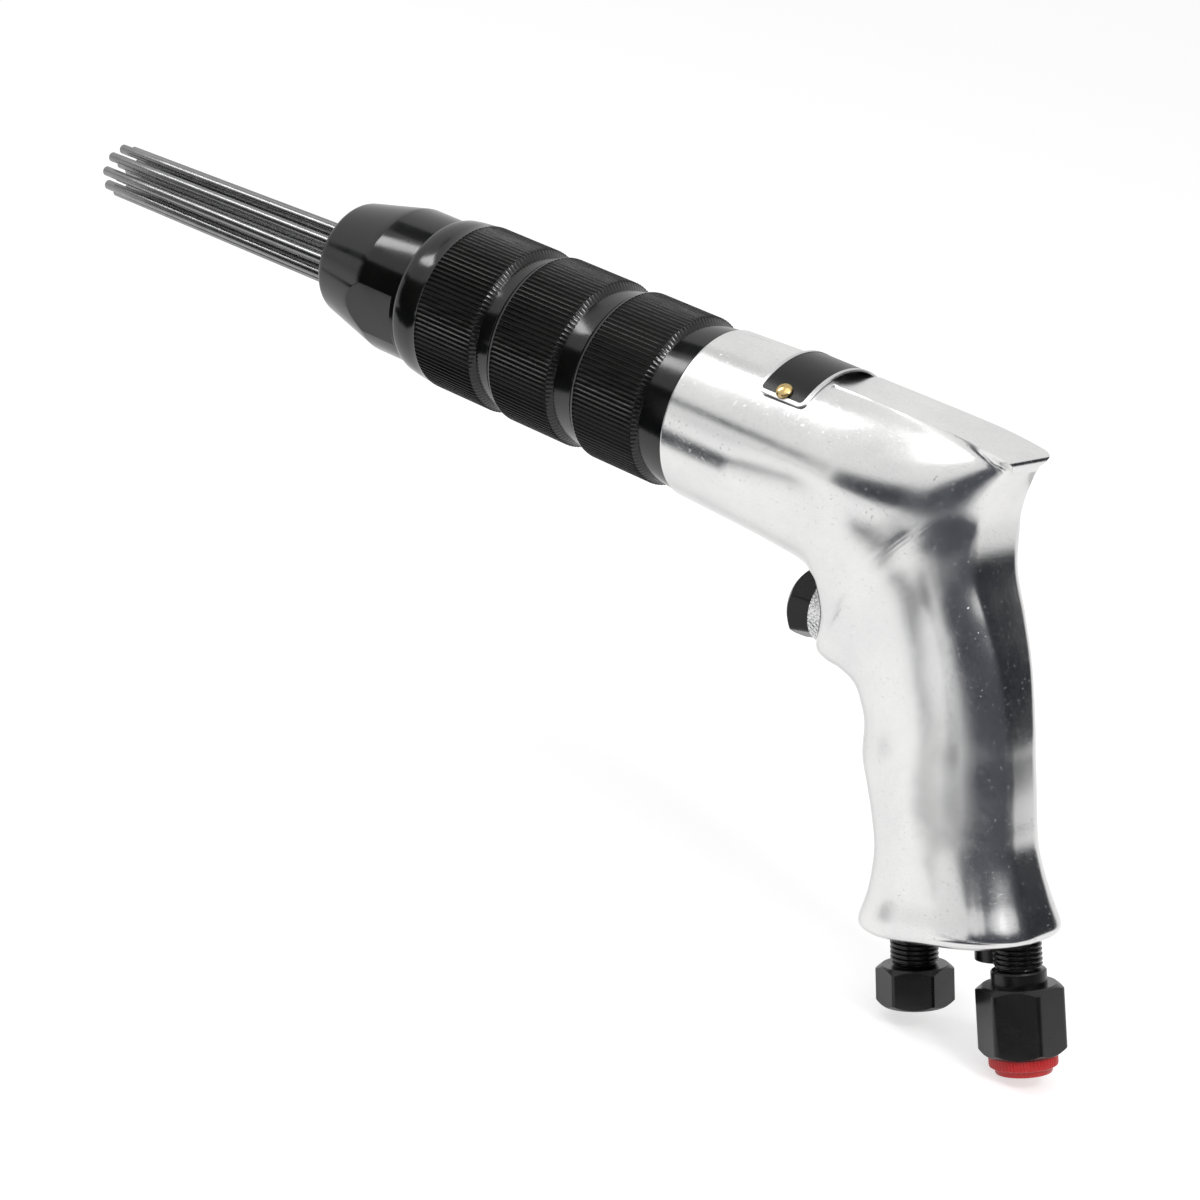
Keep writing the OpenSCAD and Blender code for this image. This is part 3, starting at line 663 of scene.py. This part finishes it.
# nose piece with its two wrench flats
nose = {"radius": 22.3, "straight": 15, "length": 37, "rim": 17.4, "mouth": 12.8, "mouthDepth": 22,
        "spigotEnd": -16, "spigot": 20, "bore": 17,
        "flatDistance": 20.8, "flatTurn": 19, "flatStart": 2, "flatEnd": 17, "flatHalf": 10}


def noseMesh():
    n = nose
    r, rim, front = n["radius"], n["rim"], n["length"]
    outline = [(n["spigotEnd"], n["bore"]), (n["spigotEnd"], n["spigot"] - 0.6),
               (n["spigotEnd"] + 0.6, n["spigot"]), (0.03, n["spigot"]), (0.03, r - 0.15), (0.18, r),
               (n["straight"] - 0.3, r), (n["straight"] + 0.2, r - 0.05)]
    for j in range(1, 8):
        share = j / 7
        z = n["straight"] + (front - 2.4 - n["straight"]) * share
        outline.append((z, r + (rim + 0.25 - r) * share))
    outline += [(front - 1.8, rim + 0.1), (front - 1.2, rim - 0.15), (front - 0.7, rim - 0.5),
                (front - 0.25, rim - 1.0), (front, rim - 1.6), (front, n["mouth"] + 0.5),
                (front - 0.5, n["mouth"]), (n["mouthDepth"], n["mouth"]), (n["mouthDepth"], n["bore"])]
    obj = turned("nose", outline, 160, alongBarrel(0))
    # each wrench flat is cut by a slab with a round front end
    cutters = []
    half = n["flatHalf"]
    for side in (0, 180):
        tilt = turn(side - n["flatTurn"], "X")
        shape = []
        for z in (n["flatDistance"], 30):
            shape.append((n["flatStart"], z, -half))
            shape.append((n["flatEnd"], z, -half))
            for j in range(1, 24):
                a = -math.pi / 2 + math.pi * j / 24
                shape.append((n["flatEnd"] + half * math.cos(a), z, half * math.sin(a)))
            shape.append((n["flatEnd"], z, half))
            shape.append((n["flatStart"], z, half))
        count = len(shape) // 2
        sides = [list(range(count)), list(range(2 * count - 1, count - 1, -1))]
        for j in range(count):
            k = (j + 1) % count
            sides.append([j, count + j, count + k, k])
        cutters.append(looseMesh("cutter", shape, sides, tilt))
    return cutBy(obj, *cutters)


noseObj = noseMesh()
bevel = noseObj.modifiers.new("edge", "BEVEL")
bevel.width = 0.12 * mm
bevel.segments = 2
bevel.limit_method = "ANGLE"
bevel.angle_limit = math.radians(12)
fitted(noseObj, "tool", sleeveBlack, ["nose_piece"], 30)
print("nose ready")


# needles, each with a ground tip
needleSet = {"radius": 1.5, "headRadius": 2.3, "headLength": 2, "length": 174, "start": -33.8,
             "droop": 1.4, "drawIn": 0.6, "firstOuter": 10, "firstInner": 30,
             "outer": 9, "outerRing": 8.8, "inner": 3, "innerRing": 3.4}


def needleMesh():
    n = needleSet
    # turn, ring radius and draw-in of every needle
    needles = [(i * 360 / n["outer"] + n["firstOuter"], n["outerRing"], n["drawIn"])
               for i in range(n["outer"])]
    needles += [(i * 360 / n["inner"] + n["firstInner"], n["innerRing"], n["drawIn"] / 2)
                for i in range(n["inner"])]
    r, head, seat, tip = n["radius"], n["headRadius"], n["headLength"], n["length"]
    outline = [(0, 0), (0, head - 0.2), (0.2, head), (seat - 0.2, head), (seat, head - 0.2), (seat, r)]
    outline += [(seat + (tip - seat - 0.3) * j / 8, r) for j in range(1, 9)]
    outline += [(tip - 0.12, r - 0.08), (tip, r - 0.28), (tip, 0)]
    places = [Matrix.Translation((n["start"], 0, 0)) @ turn(90 + n["droop"], "Y") @ turn(a, "Z")
              @ Matrix.Translation((ring, 0, 0)) @ turn(-lean, "Y") for a, ring, lean in needles]
    return turnedAt("needle_bundle", outline, 24, places)


fitted(needleMesh(), "needle_set", needleGrey, ["needles"], 40)
print("needles ready")


# hexagons: the chamfer is a cone that leaves curved arcs on the flats
hexForm = {"cornerCut": 0.25, "faceShare": 0.95, "chamferSlope": 1.3, "count": 144}


def hexReach(angle, width):
    a = (angle + math.pi / 6) % (math.pi / 3) - math.pi / 6
    corner = width / math.sqrt(3)
    return min(width / 2 / math.cos(a), corner - hexForm["cornerCut"])


def hexPart(width, low, high, angle, bore, place):
    flat = width / 2 * hexForm["faceShare"]

    def reach(k, j, a, r, z):
        out = hexReach(a - math.radians(angle), width)
        drop = (out - flat) / hexForm["chamferSlope"]
        if k == 1:
            return (out, low + drop)
        if k == 2:
            return (out, high - drop)
        return (r, z)

    outline = [(low, flat), (low, flat), (high, flat), (high, flat), (high, bore), (low, bore)]
    return turned("part", outline, hexForm["count"], place, True, reach)


# pipe fittings
pipe = {"root": 5.85, "crest": 6.6, "pitch": 1.34, "stepsPerPitch": 12, "threadTop": 1.4,
        "shankStart": 1, "shank": 5.6}


def threadPart(low, bore, place):
    # a thread as one running ridge that fades out at both ends
    root, crest, pitch, high = pipe["root"], pipe["crest"], pipe["pitch"], pipe["threadTop"]
    steps = int((high - low) / pitch * pipe["stepsPerPitch"])

    def reach(k, j, a, r, z):
        if k > steps:
            return (r, z)
        share = (z / pitch + a / (2 * math.pi)) % 1
        ridge = max(0, min(1, 1.9 - abs(share - 0.5) * 5))
        fade = max(0, min(1, (z - low) / pitch)) * max(0, min(1, (high - z) / (0.4 * pitch)))
        return (root + (crest - root) * ridge * fade, z)

    outline = [(low + (high - low) * i / steps, root) for i in range(steps + 1)]
    outline += [(high, bore), (low, bore)]
    return turned("part", outline, 72, place, True, reach)


def shankPart(way, end, place):
    # the plain length that sits in the casting
    start, r = pipe["shankStart"], pipe["shank"]
    return turned("part", [(start, way), (start, r), (end, r), (end, way)], 48, place)


def joined(name, parts):
    # several meshes as one piece
    base = parts[0]
    base.name = name
    mesh = bmesh.new()
    for part in parts:
        mesh.from_mesh(part.data)
    mesh.to_mesh(base.data)
    mesh.free()
    for part in parts[1:]:
        bpy.data.objects.remove(part)
    return base


inlet = {"width": 21, "hexTop": -12, "hexBottom": -31, "turn": -4, "neck": 7.5, "neckTop": -8,
         "bore": 5.8, "boreRidge": 0.35, "boreLow": -27, "boreHigh": -15, "plugHole": 6.9, "way": 3.8,
         "shankEnd": 9.5}
exhaust = {"width": 19, "hexTop": -11, "hexBottom": -22.2, "turn": 0, "bore": 5.2, "way": 3.2,
           "lidBottom": -12.4, "lidRadius": 5.3, "shankEnd": 9.7}


def inletMesh():
    i = inlet
    top, low, high, way = i["hexTop"], i["boreLow"], i["boreHigh"], i["way"]
    hexagon = hexPart(i["width"], i["hexBottom"], top, i["turn"], i["plugHole"], inletPlace)
    neck = [(top - 0.4, i["neck"]), (top + 0.6, i["neck"]), (i["neckTop"] - 0.5, i["neck"]),
            (i["neckTop"] - 0.1, i["neck"] - 0.35), (i["neckTop"], i["neck"] - 0.6), (i["neckTop"], way),
            (top - 0.4, way)]
    neckPart = turned("part", neck, 72, inletPlace)
    thread = threadPart(i["neckTop"], way, inletPlace)
    outer, steps = i["plugHole"] + 0.05, 79
    wall = [(low, outer), (low, i["bore"])]
    for k in range(steps + 1):
        z = low + (high - low) * k / steps
        wall.append((z, i["bore"] + i["boreRidge"] * abs((z / pipe["pitch"]) % 1 - 0.5) * 2))
    wall += [(high, i["bore"]), (high, way), (top, way), (top, outer)]
    inside = turned("part", wall, 48, inletPlace)
    shank = shankPart(way, i["shankEnd"], inletPlace)
    return joined("inlet_fitting_black", [hexagon, neckPart, thread, inside, shank])


def exhaustMesh():
    e = exhaust
    top, way = e["hexTop"], e["way"]
    hexagon = hexPart(e["width"], e["hexBottom"], top, e["turn"], e["bore"], exhaustPlace)
    thread = threadPart(top, way, exhaustPlace)
    low, r = e["lidBottom"], e["lidRadius"]
    lid = turned("part", [(low, way), (low, r), (top, r), (top, way)], 48, exhaustPlace)
    shank = shankPart(way, e["shankEnd"], exhaustPlace)
    return joined("exhaust_fitting_black", [hexagon, thread, lid, shank])


fitted(inletMesh(), "tool", fittingBlack, ["inlet_fitting"], 25)
fitted(exhaustMesh(), "tool", fittingBlack, ["exhaust_fitting"], 25)
print("fittings ready")


# dust plug with a ribbed rim
plug = {"ribs": 60, "rim": 9.3, "rimBottom": -34.3, "top": -31, "step": 7.7, "bottom": -36.1,
        "inner": -27.3, "spigot": 6.84, "rib": [0, 0.02, 0.16, 0.24, 0.16, 0.02]}


def plugMesh():
    p = plug
    rim, top, foot, step, low = p["rim"], p["top"], p["rimBottom"], p["step"], p["bottom"]
    outline = [(p["inner"], 0), (p["inner"], p["spigot"] - 0.34), (p["inner"] - 0.3, p["spigot"]),
               (top, p["spigot"]), (top, rim - 0.5), (top - 0.25, rim), (top - 1.2, rim),
               (foot + 0.9, rim), (foot + 0.3, rim - 0.1), (foot, rim - 0.6), (foot, step),
               (low + 0.4, step), (low + 0.1, step - 0.15), (low, step - 0.6), (low, 0)]
    rib, firstRibbed, lastRibbed = p["rib"], 5, 8

    def reach(k, j, a, r, z):
        return (r - (rib[j % len(rib)] if firstRibbed <= k <= lastRibbed else 0), z)

    return turned("red_dust_plug", outline, p["ribs"] * len(rib), inletPlace, False, reach)


fitted(plugMesh(), "plug", plugRed, ["dust_plug"], 28)
print("plug ready")


# trigger: black button and a collar with crossed knurling
trigger = {"width": 18, "taper": 2.2, "thick": 7.6, "crown": 2.2, "crownStart": 0.59, "crownDrop": 0.14,
           "dimple": 3.5, "stemHole": 3.07, "stemDepth": 4.6, "out": 5.4, "turn": 22,
           "collar": 9.1, "collarBore": 3.1, "diamonds": 30, "samples": 10, "depth": 0.35,
           # share of a diamond's width that stands at full height
           "ridgeShare": 0.55}


def buttonMesh():
    t = trigger
    thick, edge, steps = t["thick"], 0.12, 30
    heights = [0, edge] + [thick * j / steps for j in range(1, steps + 1)]

    def reach(k, j, a, r, z):
        if k >= len(heights):
            return (r, z)
        wide = t["width"] - t["taper"] * (1 - z / thick)
        out = hexReach(a - math.radians(t["turn"]), wide)
        above = z - (thick - t["crown"])
        if above > 0:
            out = min(out, t["width"] * (t["crownStart"] - t["crownDrop"] * above / t["crown"]))
        return (out - (edge if k == 0 else 0), z)

    outline = [(z, t["width"] / 2) for z in heights]
    outline += [(thick, t["dimple"]), (thick, 0), (t["stemDepth"], 0), (t["stemDepth"], t["stemHole"]),
                (0, t["stemHole"])]
    return turned("trigger_hexagon", outline, hexForm["count"], atTrigger(t["out"]), True, reach)


def collarMesh():
    t = trigger
    steps, r, bore, top = 34, t["collar"], t["collarBore"], t["out"] - 0.05
    outline = [(0, bore), (0, r - 0.35), (0.3, r)]
    outline += [(0.3 + (top - 0.4) * i / steps, r) for i in range(1, steps)]
    outline += [(top, r - 0.1), (top, bore)]
    pitch = 2 * math.pi * r / t["diamonds"]
    ridge = t["ridgeShare"]

    def reach(k, j, a, r, z):
        if k < 2 or k > steps + 1:
            return (r, z)
        along, around = z / pitch, a * t["diamonds"] / (2 * math.pi)
        one = abs((around + along) % 1 - 0.5) * 2
        two = abs((around - along) % 1 - 0.5) * 2
        cut = max(0, one - ridge, two - ridge) / (1 - ridge)
        return (r - t["depth"] * cut, z)

    count = t["diamonds"] * t["samples"]
    return turned("trigger_knurled_collar", outline, count, atTrigger(0), True, reach)


fitted(buttonMesh(), "trigger", buttonBlack, ["trigger_button"], 25)
fitted(collarMesh(), "trigger", brightNickel, ["trigger_collar"], 30)
print("trigger ready")


# bare plate bent over the barrel, and its rivets
plate = {"x": -135, "length": 16, "angle": 49, "radius": 26.29, "thick": 0.6, "border": 1.1,
         "corner": 2.2, "bendSteps": 49, "rivetAngle": 43.4, "rivetShank": 1.2, "rivetDepth": 5}


def roundedOutline(long, wide, corner, inset):
    points = []
    for cx, cy, start in ((1, 1, 0), (-1, 1, 90), (-1, -1, 180), (1, -1, 270)):
        for j in range(7):
            a = math.radians(start + 90 * j / 6)
            r = max(0.2, corner - inset)
            points.append((cx * (long / 2 - corner) + cx * (corner - inset - r) + r * math.cos(a),
                           cy * (wide / 2 - corner) + cy * (corner - inset - r) + r * math.sin(a)))
    return points


def plateMesh():
    p = plate
    r = p["radius"]
    long = math.radians(2 * p["angle"]) * (r + p["thick"])
    rings = [(0.0, 0.0), (0.0, p["thick"] - 0.12), (0.12, p["thick"]), (p["border"], p["thick"]),
             (p["border"] + 0.1, p["thick"] - 0.1)]
    points, faces = [], []
    for inset, high in rings:
        points += [(s, w, high) for s, w in roundedOutline(long, p["length"], p["corner"], inset)]
    n = len(points) // len(rings)
    for i in range(len(rings) - 1):
        for j in range(n):
            k = (j + 1) % n
            faces.append([i * n + j, i * n + k, (i + 1) * n + k, (i + 1) * n + j])
    faces.append(list(range(n)))
    faces.append([(len(rings) - 1) * n + j for j in range(n)])
    mesh = bpy.data.meshes.new("bare_nameplate")
    mesh.from_pydata(points, [], faces)
    mesh.materials.append(plateSilver)
    mesh.materials.append(plateBlack)
    mesh.polygons[len(faces) - 1].material_index = 1
    for i in range(n):
        mesh.polygons[(len(rings) - 2) * n + i].material_index = 1
    form = bmesh.new()
    form.from_mesh(mesh)
    # cut into narrow strips, then bent
    steps = p["bendSteps"]
    for i in range(-(steps // 2), steps // 2 + 1):
        whole = list(form.verts) + list(form.edges) + list(form.faces)
        bmesh.ops.bisect_plane(form, geom=whole, plane_co=(i * long / steps, 0, 0), plane_no=(1, 0, 0))
    for v in form.verts:
        a = v.co.x / (r + p["thick"])
        out = r + v.co.z
        v.co = Vector((p["x"] + v.co.y, out * math.sin(a), out * math.cos(a))) * mm
    bmesh.ops.recalc_face_normals(form, faces=form.faces)
    form.to_mesh(mesh)
    form.free()
    return linked("bare_nameplate", mesh)


def rivetMesh():
    p = plate
    head = p["rivetDepth"] + p["thick"] + 0.05
    # shank, then the domed head
    outline = [(0, 0), (0, p["rivetShank"]), (head, p["rivetShank"]), (head, 2.2), (head + 0.1, 2.4),
               (head + 0.3, 2.4), (head + 0.6, 2.25), (head + 0.9, 1.85), (head + 1.13, 1.3),
               (head + 1.25, 0.7), (head + 1.29, 0)]
    places = [alongBarrel(p["x"]) @ turn(180 + side * p["rivetAngle"], "Z")
              @ Matrix.Translation((p["radius"] - p["rivetDepth"], 0, 0)) @ turn(90, "Y")
              for side in (-1, 1)]
    return turnedAt("brass_rivets", outline, 40, places)


fitted(plateMesh(), "tool", plateBlack, ["nameplate"], 30)
fitted(rivetMesh(), "tool", turnedBrass, ["plate_rivets"], 40)
print("plate ready")


# springs as wound wire: the long one returns the needles, the short one the throttle
returnSpring = {"radius": 15, "wire": 1.25, "turns": 7.5, "low": -24, "high": 21.7}
throttleSpring = {"radius": 4.6, "wire": 0.8, "turns": 7, "low": -49.7, "high": -25.6}
springObj = springWire(returnSpring, alongBarrel(0), "needle_return_spring")
fitted(springObj, "tool", needleGrey, ["return_spring"], 60)
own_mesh(springObj)
valveSpring = springWire(throttleSpring, atTrigger(0), "throttle_return_spring")
fitted(valveSpring, "tool", needleGrey, ["throttle_spring"], 60)
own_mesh(valveSpring)

# the inner parts keep their own solids and get a finish
innerFinishes = {
    "needle_holder": groundSteel, "anvil": groundSteel, "cylinder_tube": groundSteel,
    "piston": brightNickel, "valve_block": groundSteel, "lock_ring": groundSteel,
    "trigger_stem": groundSteel, "throttle_valve": groundSteel, "buffer_ring": sealRubber,
    "cylinder_seals": sealRubber, "rear_cushion": sealRubber, "trigger_bush": turnedBrass,
    "throttle_seat": turnedBrass, "inlet_strainer": turnedBrass, "exhaust_diffuser": turnedBrass,
    "regulator_screw": fittingBlack,
}
for name, finish in innerFinishes.items():
    mesh = nodes[name].data
    mesh.materials.clear()
    mesh.materials.append(finish)
print("inner parts ready")


# floor, light and camera
studio = {"floorLight": 0.62, "floorInMetal": 0.4, "floorColour": 0.55, "floorHalf": 6,
          "worldLight": 0.75, "cameraPlace": (-0.6156, 0.7522, 0.2525), "lens": 102.1,
          "cameraRight": (-0.75162, -0.62553, 0.20922), "cameraUp": (0.36453, -0.1296, 0.92213),
          "roomMiddle": (-0.2, 0), "roomRadius": 0.8, "tableGap": 0.0015}
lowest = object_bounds()[0][2]


def floorMesh():
    size = studio["floorHalf"]
    points = [(-size, -size), (size, -size), (size, size), (-size, size)]
    mesh = bpy.data.meshes.new("floor")
    mesh.from_pydata([(x, y, lowest - 0.0003) for x, y in points], [], [[0, 1, 2, 3]])
    obj = linked("floor", mesh)
    mat = bpy.data.materials.new("pale_floor")
    mat.use_nodes = True
    tree = mat.node_tree
    tree.nodes.clear()
    out = tree.nodes.new("ShaderNodeOutputMaterial")
    both = tree.nodes.new("ShaderNodeAddShader")
    paint = tree.nodes.new("ShaderNodeBsdfDiffuse")
    paint.inputs["Color"].default_value = (studio["floorColour"],) * 3 + (1,)
    glow = tree.nodes.new("ShaderNodeEmission")
    path = tree.nodes.new("ShaderNodeLightPath")
    seen = combine(tree, "MAXIMUM", path.outputs["Is Camera Ray"], path.outputs["Is Transmission Ray"])
    seen = combine(tree, "MULTIPLY", seen, studio["floorLight"])
    mirrored = combine(tree, "MULTIPLY", path.outputs["Is Glossy Ray"], studio["floorInMetal"])
    tree.links.new(combine(tree, "MAXIMUM", seen, mirrored), glow.inputs["Strength"])
    tree.links.new(paint.outputs["BSDF"], both.inputs[0])
    tree.links.new(glow.outputs["Emission"], both.inputs[1])
    tree.links.new(both.outputs["Shader"], out.inputs["Surface"])
    mesh.materials.append(mat)
    # the plug rests on the floor; the floor sinks with it when it is pulled out
    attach(obj, "plug")


def studioWorld():
    world = bpy.data.worlds.new("studio")
    scene.world = world
    world.use_nodes = True
    tree = world.node_tree
    tree.nodes.clear()
    out = tree.nodes.new("ShaderNodeOutputWorld")
    pick = tree.nodes.new("ShaderNodeMixShader")
    path = tree.nodes.new("ShaderNodeLightPath")
    seen = combine(tree, "MAXIMUM", path.outputs["Is Camera Ray"], path.outputs["Is Glossy Ray"])
    seen = combine(tree, "MAXIMUM", seen, path.outputs["Is Transmission Ray"])
    plain = tree.nodes.new("ShaderNodeBackground")
    plain.inputs["Strength"].default_value = studio["worldLight"]
    white = tree.nodes.new("ShaderNodeBackground")
    white.inputs["Strength"].default_value = 1
    tree.links.new(seen, pick.inputs["Fac"])
    tree.links.new(plain.outputs["Background"], pick.inputs[1])
    tree.links.new(white.outputs["Background"], pick.inputs[2])
    tree.links.new(pick.outputs["Shader"], out.inputs["Surface"])


def softLamp(name, place, aim, size, power):
    lamp = bpy.data.lights.new(name, "AREA")
    lamp.shape = "RECTANGLE"
    lamp.size, lamp.size_y = size
    lamp.energy = power
    obj = linked(name, lamp)
    obj.location = place
    obj.rotation_euler = (Vector(aim) - Vector(place)).to_track_quat("-Z", "Y").to_euler()


def cardFinish(name, shade):
    mat = bpy.data.materials.new(name)
    mat.use_nodes = True
    tree = mat.node_tree
    tree.nodes.clear()
    out = tree.nodes.new("ShaderNodeOutputMaterial")
    glow = tree.nodes.new("ShaderNodeEmission")
    glow.inputs["Color"].default_value = (*shade, 1)
    tree.links.new(glow.outputs["Emission"], out.inputs["Surface"])
    return mat


def reflectedOnly(obj, shade):
    # a dark studio card that only shows in the metal
    obj.data.materials.append(cardFinish(obj.name, shade))
    obj.visible_camera = False
    obj.visible_shadow = False
    obj.visible_diffuse = False
    obj.visible_transmission = False


def flatCard(name, corners, shade):
    mesh = bpy.data.meshes.new(name)
    mesh.from_pydata(corners, [], [list(range(len(corners)))])
    reflectedOnly(linked(name, mesh), shade)


def bentCard(name, start, end, low, high, shade):
    # an upright card on a circle around the tool
    middle, radius = studio["roomMiddle"], studio["roomRadius"]
    points, faces, steps = [], [], 40
    for i in range(steps + 1):
        a = math.radians(start + (end - start) * i / steps)
        x, y = middle[0] + radius * math.cos(a), middle[1] + radius * math.sin(a)
        points += [(x, y, low), (x, y, high)]
    for i in range(steps):
        faces.append([2 * i, 2 * i + 2, 2 * i + 3, 2 * i + 1])
    mesh = bpy.data.meshes.new(name)
    mesh.from_pydata(points, [], faces)
    reflectedOnly(linked(name, mesh), shade)


floorMesh()
studioWorld()
roomShade = (0.06, 0.065, 0.078)
tableShade = (0.045, 0.048, 0.058)
# each part of the room: the angles where it starts and ends, its lower and upper edge, its shade
roomParts = [
    (93, 105, lowest, 0.15, roomShade),
    (105, 114, lowest, 0.25, roomShade),
    (114, 123, lowest, 0.42, roomShade),
    (123, 188, lowest, 0.42, roomShade),
    (188, 202, -0.065, 0.42, (0.055, 0.06, 0.07)),
    (202, 214, -0.065, 0.5, (0.045, 0.048, 0.056)),
    (214, 226, -0.07, 1.0, (0.035, 0.038, 0.044)),
    (226, 252, -0.075, 1.0, (0.025, 0.027, 0.032)),
]
for k, (start, end, low, high, shade) in enumerate(roomParts):
    bentCard("room_" + str(k + 1), start, end, low, high, shade)
flatCard("rear_card", [(-0.2, 0.2, -0.03), (-0.095, 0.2, -0.03), (-0.095, 0.2, 0.05), (-0.2, 0.2, 0.05)],
         tableShade)
tableCards = {
    "near_table_card": [(-0.128, 0.211), (-0.105, 0.24), (-0.092, 0.285), (-0.155, 0.29), (-0.19, 0.31),
                        (-0.2, 0.43), (-0.28, 0.45), (-0.285, 0.25), (-0.25, 0.206), (-0.19, 0.2)],
    "foot_table_card": [(-0.205, 0.06), (-0.205, 0.19), (-0.31, 0.19), (-0.31, 0.06)],
    "left_table_card": [(-0.31, 0.3), (-0.31, 0.5), (-0.6, 0.56), (-0.6, 0.2), (-0.4, 0.2)],
}
for name, corners in tableCards.items():
    flatCard(name, [(x, y, lowest + studio["tableGap"]) for x, y in corners], tableShade)
flatCard("gap_card", [(0.45, 1.2, 0.16), (1.2, 0.45, 0.16), (1.2, 0.45, 0.29), (0.45, 1.2, 0.29)],
         (0.025, 0.03, 0.04))
flatCard("table_card", [(0.0, 0.135, lowest + 0.002), (0.4, 0.135, lowest + 0.002),
                        (0.4, 0.285, lowest + 0.002), (0.03, 0.285, lowest + 0.002)],
         (0.02, 0.024, 0.032))
flatCard("front_card",
         [(0.028, 0.15, -0.07), (0.26, 0.15, -0.07), (0.26, 0.15, 0.062), (0.028, 0.15, 0.062)],
         (0.01, 0.01, 0.012))
flatCard("high_card", [(0.68, 0.17, 1.02), (0.68, -0.26, 1.02), (0.98, -0.26, 1.02), (0.98, 0.17, 1.02)],
         (0.08, 0.085, 0.09))
softLamp("top_box", (-0.3, 0.4, 1.0), (-0.1, 0, 0), (0.9, 0.9), 3.2)
softLamp("edge_box", (0.62, 0.33, 0.72), (0, 0, 0), (0.16, 0.55), 2.4)
softLamp("rear_box", (-0.78, 0.28, 0.72), (-0.06, 0, 0), (0.2, 0.2), 2.4)
camera = bpy.data.cameras.new("photo_view")
camera.lens = studio["lens"]
camera.sensor_width = 36
camera.sensor_fit = "HORIZONTAL"
cameraObj = linked("photo_view", camera)
right = Vector(studio["cameraRight"])
up = Vector(studio["cameraUp"])
back = right.cross(up)
spin = Matrix((right, up, back)).transposed().to_4x4()
cameraObj.matrix_world = Matrix.Translation(studio["cameraPlace"]) @ spin
scene.camera = cameraObj
scene.view_settings.view_transform = "Standard"
print("studio ready")
